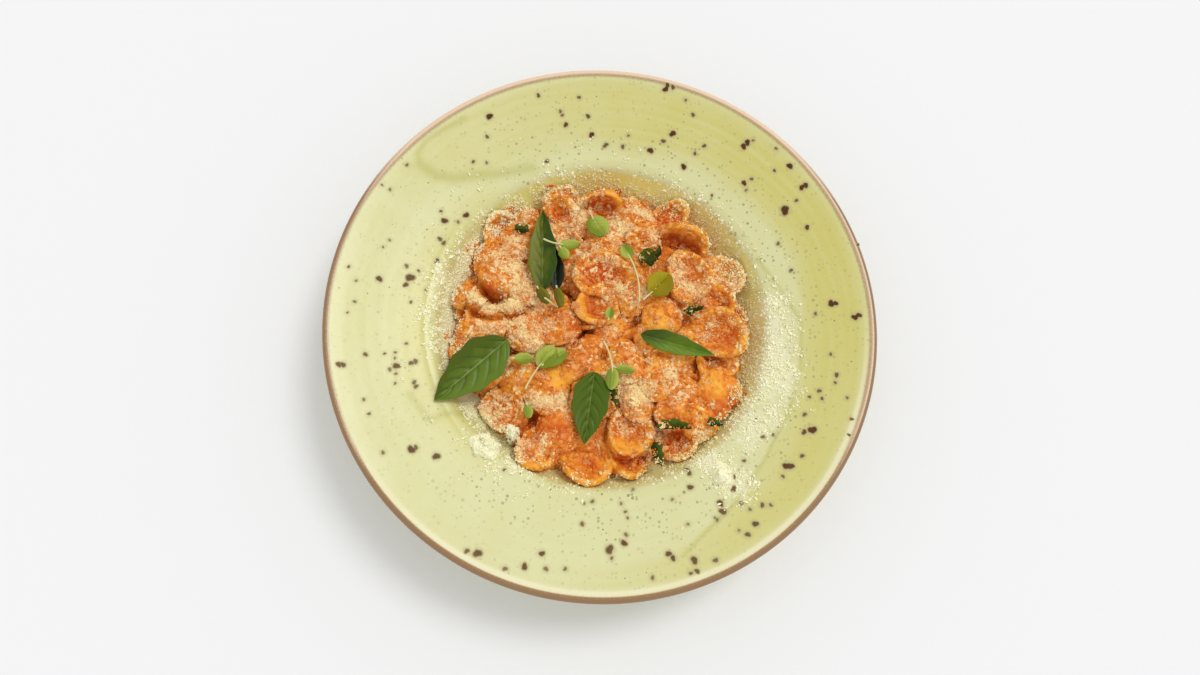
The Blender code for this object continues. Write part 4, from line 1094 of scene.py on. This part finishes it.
def leaf_material(
    name, right, left, vein, vein_strength, side_vein_shade, roughness, specular=0.22, dark_base=0.0
):
    """A waxy leaf: a drifting green each side of the midrib, a pale midrib, side veins painted dark as the
    shade in their grooves, and a gloss.
    """
    material = new_material(name)
    node = partial(add_node, material)
    place = node("TexCoord", output="Object")
    along, across = (node("Attribute", output="Fac", attribute_name=name) for name in ("along", "across"))
    side = node("Math", (across,), operation="ABSOLUTE")
    drift = node("TexNoise", (place, 1 / (9 * MM), 3.0))
    lean = node("Math", (across, 0.45, drift), operation="MULTIPLY_ADD")
    base = node("Math", (across, -0.12, along), operation="MULTIPLY_ADD")
    swept = node("Math", (side, VEIN_CURVE), operation="POWER")
    phase = node("Math", (swept, -VEIN_SWEEP, along), operation="MULTIPLY_ADD")
    sign = node("Math", (across,), operation="SIGN")
    start = node("Math", (sign, VEIN_STAGGER, VEIN_START), operation="MULTIPLY_ADD")
    counted = node("Math", (phase, VEIN_PAIRS, start), operation="MULTIPLY_ADD")
    away = node("Math", (counted, 0.5), operation="PINGPONG")
    vein_line = node("MapRange", (away, 0.02, 0.12, side_vein_shade, 0.0))
    fading = node("MapRange", (side, 0.45, 0.9, 1.0, 0.0))
    shaded_side_vein = node("Math", (vein_line, fading), operation="MULTIPLY")
    midrib = node("MapRange", (side, 0.01, 0.055, 1.0, 0.0))
    layers = (
        # One half of the leaf takes the other green; on the basil this is partly painted light and shade.
        (node("MapRange", (lean, 0.25, 0.75)), left),
        (node("MapRange", (base, 0.12, 0.42, dark_base, 0.0)), "#1C2E0A"),
        # Painted shade along the side veins, where their grooves would fall dark.
        (shaded_side_vein, "#23400F"),
        (node("Math", (midrib, vein_strength), operation="MULTIPLY"), vein),
    )
    pores = node("TexNoise", (place, 1 / (1.2 * MM), 2.0))
    relief = node("Math", (shaded_side_vein, -2.0, pores), operation="MULTIPLY_ADD")
    settings = {"Roughness": roughness, "IOR": 1.45, "Specular IOR Level": specular}
    return finish(material, linear(right), layers, settings, relief, 0.4, 0.25 * MM)


def new_leaf(name, ending, points, faces, material, slot, thickness, values):
    """A piece of leaf as thick as that, in place of its solid."""
    leaf = new_piece(name + ending, points, faces, material, slot, [name], **values)
    solid = leaf.modifiers.new("thickness", "SOLIDIFY")
    solid.thickness = thickness
    solid.offset = 0


# How each leaf is coloured to the right and to the left of its midrib, as seen from its stalk. On the basil
# the two greens differ partly as painted light and shade: one half painted lit, the other shaded.
BASIL_FINISH = {
    "basil_leaf_dark": ("bruised basil", "#141C0C", "#232F1A", "#66745C", 0.5, 0.2, 0.38),
    "basil_leaf_folded": ("folded basil", "#32480A", "#696E06", "#7A8C34", 0.3, 0.14, 0.34),
    "basil_leaf_left": ("full basil", "#4A5A08", "#5E761C", "#A9B570", 0.45, 0.42, 0.32),
    "basil_leaf_right": ("smooth basil", "#64801A", "#566C12", "#8FA050", 0.3, 0.14, 0.32, 0.22, 0.6),
    "basil_leaf_front": ("bright basil", "#4E6208", "#4A610A", "#9CAA50", 0.35, 0.42, 0.32),
}
leaf_trees = []
for leaf in BASIL:
    points, faces, values = leaf_sheet(leaf, node_tree(leaf.name), BASIL_SETTLING)
    green = leaf_material(*BASIL_FINISH[leaf.name])
    new_leaf(leaf.name, "_blade", points, faces, green, "basil", LEAF_THICKNESS, values)
    leaf_trees.append(tree_of(points, faces))

# Wilted basil: shreds cooked with the pasta, limp, crumpled and nearly black.
WILTED = [
    Leaf(*row)
    for row in (
        ("wilted_basil_1", -47, 51, 0, 9, 6, 0, 0, 14, 20),
        ("wilted_basil_2", 20, 34, 20, 13, 10, 0, 20, 20, 26),
        ("wilted_basil_3", 43, 7, 8, 11, 5, 0, 10, 14, 22),
        ("wilted_basil_4", 5, -33, 275, 11, 5, 0, 10, 14, 22),
        ("wilted_basil_5", 28, -54, 8, 17, 6, 0, -26, 14, 34),
        ("wilted_basil_6", 53, -52, 350, 8, 5, 0, 10, 14, 18),
        ("wilted_basil_7", 27, -62, 275, 13, 6, 0, 10, 14, 26),
    )
]
WILTED_SETTLING = 4
wilted_basil = leaf_material("wilted basil", "#26300A", "#4A5A18", "#5A6A30", 0.3, 0.0, 0.55, 0.08)
wilted_shapes = []
for leaf in WILTED:
    points, faces, values = leaf_sheet(leaf, node_tree(leaf.name), WILTED_SETTLING)
    crumple = 0.35 * ripples(points, 2.2 * MM, 51) + 0.15 * ripples(points, 1.1 * MM, 52)
    points[:, 2] += (0.2 + np.clip(crumple, -0.3, 0.7)) * MM
    points[:, 0] += 0.7 * MM * ripples(points, 2.4 * MM, 53)
    points[:, 1] += 0.7 * MM * ripples(points, 2.4 * MM, 54)
    wilted_shapes.append((points, faces))
    new_leaf(leaf.name, "_shred", points, faces, wilted_basil, "wilted_basil", LEAF_THICKNESS, values)

# Cress: sprigs of young shoots scattered last, each with thin round leaves on a straw-coloured stem. The
# leaves of one sprig meet at its stem.
CRESS = [
    Leaf(*row)
    for row in (
        ("cress_sprig_1", -7, 63, 292, 17, 12, 4, 16, 20, 30),
        ("cress_sprig_2", -31, 43, 330, 19, 6, 9, 50, 14, 32),
        ("cress_sprig_2", -22.5, 39, 300, 8, 6, 1, 0, 14, 16),
        ("cress_sprig_3", -34, 17, 305, 11, 6, 1, 0, 14, 20),
        ("cress_sprig_3", -30, 11, 326, 9.5, 1.0, 8.5, 0, 6, 24),
        ("cress_sprig_4", -24, 17, 284, 12, 5, 1, 0, 14, 20),
        ("cress_sprig_5", 19, 10, 84, 32, 7, 24, 44, 14, 60),
        ("cress_sprig_6", 21, 11, 42, 20, 14, 5, 6, 22, 34),
        ("cress_sprig_7", -39, -36, 66, 26, 11, 13, -24, 18, 44),
        ("cress_sprig_7", -31, -24, 32, 15, 9, 1, 0, 16, 26),
        ("cress_sprig_8", 0.5, -11, 300, 26, 7, 15, -45, 14, 44),
        ("cress_sprig_8", 4.4, -24.5, 345, 12, 5, 2, 8, 14, 20),
        ("cress_sprig_9", -46, -21, 0, 11, 6, 1, 0, 14, 20),
        ("cress_sprig_10", -38, -43, 280, 8, 5, 1, 0, 14, 16),
        ("cress_sprig_11", 3, 0, 80, 7, 5, 1, 0, 12, 14),
    )
]
CRESS_SIDES = 10
CRESS_THICKNESS = 0.3 * MM
CRESS_SETTLING = 10
STEM_SETTLING = 6
STEM_STEPS = 26
# The radius of a stem at its foot, at its leaf and at the tip, and how deep it sinks at its foot, at its
# leaf and just beyond, in millimetres.
STEM_RADII = (0.50, 0.42, 0.10)
STEM_SINK = (0.15, 0.25, 0.75)


def tube(points, radii):
    """A closed round tube through the points."""
    ahead = np.gradient(points, axis=0)
    ahead /= np.maximum(np.linalg.norm(ahead, axis=1, keepdims=True), 1e-9)
    beside = np.cross(ahead, (0, 0, 1))
    beside /= np.maximum(np.linalg.norm(beside, axis=1, keepdims=True), 1e-9)
    above = np.cross(beside, ahead)
    turns = turns_round(CRESS_SIDES)[None, :, None]
    outward = beside[:, None] * np.cos(turns) + above[:, None] * np.sin(turns)
    rings = points[:, None] + radii[:, None, None] * outward
    skin = np.concatenate([points[:1], rings.reshape(-1, 3), points[-1:]])
    return skin, [face[::-1] for face in skin_faces(len(points), CRESS_SIDES)]


def cress_blade(leaf, tree):
    """The blade of a cress leaf as a sheet with its values, and its stem and midrib as a tube under it."""
    stem_share = leaf.stem / leaf.length
    points, faces, values = leaf_sheet(leaf, tree, CRESS_SETTLING)
    keep = values["along"] >= stem_share - 0.5 / leaf.along
    kept_number = np.cumsum(keep) - 1
    quads = np.array(faces)
    blade_faces = kept_number[quads[keep[quads].all(axis=1)]].tolist()
    blade_along = (values["along"][keep] - stem_share) / (1 - stem_share)
    along = np.linspace(0, min(stem_share + 0.62 * (1 - stem_share), 0.9), STEM_STEPS)
    x, y = leaf_place(leaf, along, np.zeros_like(along))
    z = tops(tree, x, y)
    for _ in range(STEM_SETTLING):
        z[1:-1] = (z[:-2] + z[1:-1] * 2 + z[2:]) / 4
    radii = np.interp(along, (0, stem_share, 1), STEM_RADII) * MM
    sunk = np.interp(along, (0, stem_share, min(stem_share + 0.1, 1)), STEM_SINK) * MM
    stem = tube(np.stack([x, y, z - sunk], -1), radii)
    return (points[keep], blade_faces), blade_along, values["across"][keep], stem


def cress_stalk():
    """Young stems of cress are smooth and juicy, streaked between straw and cream."""
    material = new_material("cress stem")
    place = add_node(material, "TexCoord", output="Object")
    streaks = add_node(material, "TexNoise", (place, 1 / (2.5 * MM), 2.0))
    return finish(material, linear("#C9C878"), [(streaks, "#EBDDA6")], {"Roughness": 0.4})


cress = leaf_material("cress leaf", "#76861A", "#A6AE48", "#B9BC6A", 0.3, 0.15, 0.42)
dark_cress = leaf_material("dark cress leaf", "#5A5206", "#767012", "#8C8A3C", 0.4, 0.15, 0.42, 0.15)
olive_cress = leaf_material("olive cress leaf", "#887606", "#A29218", "#5A4A10", 0.8, 0.15, 0.42, 0.1)
CRESS_FINISH = {"cress_sprig_3": dark_cress, "cress_sprig_4": dark_cress, "cress_sprig_6": olive_cress}
stalk = cress_stalk()
for name in dict.fromkeys(leaf.name for leaf in CRESS):
    tree = node_tree(name)
    blades, alongs, acrosses, stems = zip(*[cress_blade(leaf, tree) for leaf in CRESS if leaf.name == name])
    points, faces = join_shapes(blades)
    values = {"along": np.concatenate(alongs), "across": np.concatenate(acrosses)}
    green = CRESS_FINISH.get(name, cress)
    new_leaf(name, "_leaves", points, faces, green, "cress", CRESS_THICKNESS, values)
    new_piece(name + "_stem", *join_shapes(stems), stalk, "cress", [name])
    leaf_trees.append(tree_of(points, faces))

# Grated cheese: hard cheese rasped over the plate at the table. It falls as crumbs about 0.5 to 1.5 mm
# across, some a little drawn out, and it takes up sauce where it lies thin on the pasta.
CRUMB = np.array([(1, 0, 0), (-1, 0, 0), (0, 1, 0), (0, -1, 0), (0, 0, 1), (0, 0, -1)], float)
CRUMB_FACES = np.array(
    [(0, 2, 4), (2, 1, 4), (1, 3, 4), (3, 0, 4), (2, 0, 5), (1, 2, 5), (3, 1, 5), (0, 3, 5)]
)
# How far a crumb is drawn out along each of its own axes.
CRUMB_AXES = ((0.7, 1.5), (0.6, 1.0), (0.6, 1.0))
SAUCED_CRUMBS = 10000
DRY_CRUMBS = 9500
CRUMBS_ON_PLATE = 12500
CRUMB_SEED = 71
PASTA_REACH = 78 * MM
PLATE_REACH = 118 * MM


def crumb_mesh(places, sizes, draw):
    """A separate uneven crumb at each place, all as one mesh."""
    count = len(places)
    shape = CRUMB[None] * draw.uniform(0.65, 1.25, (count, len(CRUMB), 1))
    shape = shape * np.stack([draw.uniform(*reach, count) for reach in CRUMB_AXES], -1)[:, None]
    shape += draw.normal(0, 0.16, shape.shape)
    turn = draw.normal(size=(count, 4))
    turn /= np.linalg.norm(turn, axis=1, keepdims=True)
    w, x, y, z = turn.T
    rows = (
        (1 - 2 * (y * y + z * z), 2 * (x * y - w * z), 2 * (x * z + w * y)),
        (2 * (x * y + w * z), 1 - 2 * (x * x + z * z), 2 * (y * z - w * x)),
        (2 * (x * z - w * y), 2 * (y * z + w * x), 1 - 2 * (x * x + y * y)),
    )
    rotation = np.moveaxis(np.array(rows), -1, 0)
    points = np.einsum("cij,cpj->cpi", rotation, shape) * sizes[:, None, None] + places[:, None]
    faces = CRUMB_FACES[None] + len(CRUMB) * np.arange(count)[:, None, None]
    return points.reshape(-1, 3), faces.reshape(-1, 3).tolist()


def cheese_material(name, dry, soaked):
    """Hard grated cheese: matt, waxy and cream-coloured, more orange where it has taken up sauce."""
    material = new_material(name)
    place = add_node(material, "TexCoord", output="Object")
    soak = add_node(material, "Attribute", output="Fac", attribute_name="soak")
    grain = add_node(material, "TexNoise", (place, 1 / (0.7 * MM), 2.0))
    settings = {"Roughness": 0.6, "Specular IOR Level": 0.3}
    return finish(material, linear(dry), [(soak, soaked)], settings, grain, 0.5, 0.2 * MM)


def scatter(count, reach, density, draw, clinging, clot, steepest):
    """Places on the food and plate, many where the density is high, none on leaves, few on steep sides.

    That many crumbs cling together in each clot of that size."""
    found = []
    while len(found) < count:
        spots = draw.uniform(-reach, reach, (4 * count, 2))
        spots = spots[np.hypot(*spots.T) < reach]
        spots = spots[draw.uniform(0, 1, len(spots)) < density(spots)]
        spots = np.repeat(spots, draw.integers(1, 2 * clinging, len(spots)), axis=0)
        spots += draw.normal(0, 1, spots.shape) * clot
        for x, y in spots:
            if any(straight_down(tree, x, y)[0] for tree in leaf_trees):
                continue
            place, normal = straight_down(surface, x, y)
            if place is None or abs(normal.z) < draw.uniform(0.1, steepest):
                continue
            found.append(place)
            if len(found) == count:
                break
    return np.array(found)


def patches(spots, size, seed):
    """A smooth uneven field over spots in plan, whose lumps are about that size across."""
    return ripples(np.column_stack([spots, np.zeros(len(spots))]), size, seed)


def on_shreds(spots):
    """What share of the crumbs misses each spot because a limp shred of basil lies there."""
    strokes = []
    for leaf in WILTED:
        end_x, end_y = leaf_place(leaf, 1.0, 0.0)
        strokes.append((leaf.x, leaf.y, end_x / MM, end_y / MM, 0.5 * leaf.width, 1.0))
    return 0.65 * np.clip(strokes_at(spots, strokes), 0, 1)


def pasta_density(even, thick, patchy, size, seed, spots):
    """What share of the crumbs stays at each spot on the pasta: some all over, in the strokes, in patches."""
    cover = even + thick * strokes_at(spots, CHEESE_STROKES) + patchy * patches(spots, size, seed)
    return np.clip(cover, 0.0, 1.0) * (1 - on_shreds(spots))


def plate_density(spots):
    """What share of the crumbs stays at each spot on the plate: most at the edge of the well."""
    radius = np.hypot(*spots.T) / MM
    bearing = np.arctan2(spots[:, 1], spots[:, 0])
    less_in_front = 0.25 + 0.75 * smooth_step(np.sin(bearing), -0.75, -0.2)
    near_well = 0.85 * np.exp(-(((radius - 79.5) / 3.6) ** 2)) + 0.014 * np.exp(-(((radius - 92) / 13) ** 2))
    patchy = 1 + 0.8 * patches(spots, 5 * MM, 62)
    fallen = near_well * less_in_front * smooth_step(radius, 72, 80)
    fallen += 0.55 * strokes_at(spots, PLATE_CHEESE) * smooth_step(radius, 64, 72)
    return np.clip(fallen * patchy, 0, 1)


surface = tree_of(*join_shapes([(plate_points, plate_faces), *shapes, filler, sauce, *wilted_shapes]))
cheese = cheese_material("grated hard cheese", "#FCE4A8", "#E0802A")
loose_cheese = cheese_material("loose grated cheese", "#FDFAD8", "#EAD078")
crumb_draw = np.random.default_rng(CRUMB_SEED)
for name, count, cover, most_soak, clinging, clot in (
    ("sauced_crumbs_on_pasta", SAUCED_CRUMBS, (0.30, 0.40, 0.60, 3.6 * MM, 61), 0.95, 3, 0.8 * MM),
    ("cheese_crumbs_on_pasta", DRY_CRUMBS, (-0.10, 1.0, 0.65, 5.0 * MM, 63), 0.62, 6, 0.75 * MM),
):
    density = partial(pasta_density, *cover)
    on_pasta = scatter(count, PASTA_REACH, density, crumb_draw, clinging, clot, steepest=0.97)
    sizes = 0.60 * np.exp(crumb_draw.normal(0, 0.40, count)) * MM
    thickly = 0.55 * strokes_at(on_pasta, CHEESE_STROKES) + 0.25 * patches(on_pasta[:, :2], 5.0 * MM, 63)
    bare_dough = np.clip(-strokes_at(on_pasta, SAUCE_STROKES), 0, 1)
    soak = (most_soak - thickly) * (1 - 0.5 * bare_dough) + crumb_draw.normal(0, 0.16, count)
    on_pasta[:, 2] += 0.05 * sizes
    points, faces = crumb_mesh(on_pasta, sizes, crumb_draw)
    soaks = np.repeat(np.clip(soak, 0, 1), len(CRUMB))
    new_piece(name, points, faces, cheese, "cheese", smooth=False, soak=soaks)

on_plate = scatter(CRUMBS_ON_PLATE, PLATE_REACH, plate_density, crumb_draw, 3, 0.9 * MM, steepest=0.3)
sizes = crumb_draw.uniform(0.30, 0.78, CRUMBS_ON_PLATE) * MM
sizes *= np.where(crumb_draw.uniform(size=CRUMBS_ON_PLATE) < 0.08, 1.7, 1.0)
on_plate[:, 2] += 0.3 * sizes
points, faces = crumb_mesh(on_plate, sizes, crumb_draw)
in_well = 1 - smooth_step(np.hypot(on_plate[:, 0], on_plate[:, 1]), 80 * MM, 87 * MM)
oily = crumb_draw.uniform(0.1, 0.9, CRUMBS_ON_PLATE) * in_well
# Painted light: the crumbs are left paler at the left of the well, lifting the heap's shadow on that wall.
oily *= 1 - 0.8 * smooth_step(-on_plate[:, 0], 30 * MM, 65 * MM)
soaks = np.repeat(oily, len(CRUMB))
new_piece("cheese_crumbs_on_plate", points, faces, loose_cheese, "cheese", smooth=False, soak=soaks)

# Lumps of cheese: gratings that clung together and fell in one heap, loose at the edge.
LUMP_RINGS = 12
LUMP_SIDES = 30
LUMP_CRUMBS = 520
LUMP_SEED = 80
# Place, width and height of each, in millimetres.
LUMPS = ((-58, -65, 14, 5), (58, -78, 11, 4), (-45, -58, 8, 3.5))

for number, (lump_x, lump_y, across, lump_height) in enumerate(LUMPS, 1):
    lump_draw = np.random.default_rng(LUMP_SEED + number)
    turns = turns_round(LUMP_SIDES)
    shares, turns = np.meshgrid(np.linspace(0.08, 1, LUMP_RINGS), turns, indexing="ij")
    outline = 1 + 0.12 * np.cos(2 * turns + number) + 0.10 * np.cos(5 * turns - number)
    reach = across / 2 * MM * shares * outline
    x, y = (lump_x * MM + reach * np.cos(turns)).ravel(), (lump_y * MM + reach * np.sin(turns)).ravel()
    ground = tops(surface, x, y)
    top = tops(node_tree(f"cheese_clump_{number}"), x, y)
    above = np.maximum(top - ground, 0.3 * MM) * 1.15 * (1 - shares.ravel() ** 5)
    bumpy = np.column_stack([x, y, above])
    coarse, fine = ripples(bumpy, 3.4 * MM, 90 + number), ripples(bumpy, 1.4 * MM, 94 + number)
    ring = np.column_stack([x, y, ground + above * (0.78 + 0.26 * coarse + 0.12 * fine)])
    hem = ring[-LUMP_SIDES:] - (0, 0, 0.5 * MM)
    middle = ring[:LUMP_SIDES].mean(axis=0)
    body = np.concatenate([[middle], ring, hem, [middle - (0, 0, lump_height * MM)]])
    count = int(LUMP_CRUMBS * (across / 14) ** 1.6)
    chosen = lump_draw.integers(0, len(ring), count)
    spots = ring[chosen] + lump_draw.normal(0, 0.35, (count, 3)) * MM * (1, 1, 0.2)
    sizes = lump_draw.uniform(0.4, 1.15, count) * MM * np.where(shares.ravel()[chosen] > 0.9, 0.7, 1.0)
    spots[:, 2] -= 0.5 * sizes
    crumbs = crumb_mesh(spots, sizes, lump_draw)
    points, faces = join_shapes([(body, skin_faces(LUMP_RINGS + 1, LUMP_SIDES)), crumbs])
    new_piece(
        f"cheese_lump_{number}",
        points,
        faces,
        loose_cheese,
        "cheese",
        [f"cheese_clump_{number}"],
        smooth=False,
        soak=np.zeros(len(points)),
    )

# Camera: a little in front of the plate and almost straight above it, as the photographer stood.
CAMERA_TILT = math.radians(15.68)
CAMERA_BEARING = math.radians(-99.5)
CAMERA_DISTANCE = 450 * MM
CAMERA_TARGET = Vector((-1.79, -12.04, 48)) * MM
CAMERA_LENS = 27.02

camera_aside = math.sin(CAMERA_TILT)
camera_back = Vector(
    (camera_aside * math.cos(CAMERA_BEARING), camera_aside * math.sin(CAMERA_BEARING), math.cos(CAMERA_TILT))
)
camera_up = (Vector((0, 1, 0)) - camera_back * camera_back.y).normalized()
camera_right = camera_up.cross(camera_back)
camera = bpy.data.objects.new("camera", bpy.data.cameras.new("camera"))
camera.data.lens = CAMERA_LENS
camera.data.clip_start = 10 * MM
camera_axes = Matrix((camera_right, camera_up, camera_back)).transposed().to_4x4()
camera.matrix_world = Matrix.Translation(CAMERA_TARGET + camera_back * CAMERA_DISTANCE) @ camera_axes
bpy.context.scene.collection.objects.link(camera)
bpy.context.scene.camera = camera

# Studio: a matt white table that fills the view, soft light from the top right, and the white room's light
# all round.
TABLE_WHITE = "#F2F2F3"
TABLE_HALF = 20
KEY_BEARING = math.radians(36)
KEY_ELEVATION = math.radians(59)
KEY_SOFTNESS = math.radians(21)
KEY_STRENGTH = 1.0
ROOM_LIGHT = 0.76

table_material = new_material("white table")
table_shader = table_material.node_tree.nodes["Principled BSDF"]
table_shader.inputs["Base Color"].default_value = linear(TABLE_WHITE)
table_shader.inputs["Roughness"].default_value = 0.8
table_mesh = bpy.data.meshes.new("table")
table_corners = [(x * TABLE_HALF, y * TABLE_HALF, 0) for x, y in ((-1, -1), (1, -1), (1, 1), (-1, 1))]
table_mesh.from_pydata(table_corners, [], [(0, 1, 2, 3)])
table_mesh.materials.append(table_material)
table = bpy.data.objects.new("table", table_mesh)
bpy.context.scene.collection.objects.link(table)

key = bpy.data.objects.new("soft key light", bpy.data.lights.new("soft key light", "SUN"))
key.data.angle = KEY_SOFTNESS
key.data.energy = KEY_STRENGTH
key_from = Vector((math.cos(KEY_BEARING), math.sin(KEY_BEARING), math.tan(KEY_ELEVATION)))
key.rotation_euler = key_from.to_track_quat("Z", "Y").to_euler()
bpy.context.scene.collection.objects.link(key)

room = bpy.data.worlds.new("room")
room.use_nodes = True
room.node_tree.nodes["Background"].inputs["Color"].default_value = (1.0, 1.0, 1.0, 1.0)
room.node_tree.nodes["Background"].inputs["Strength"].default_value = ROOM_LIGHT
bpy.context.scene.world = room
bpy.context.scene.view_settings.view_transform = "Standard"
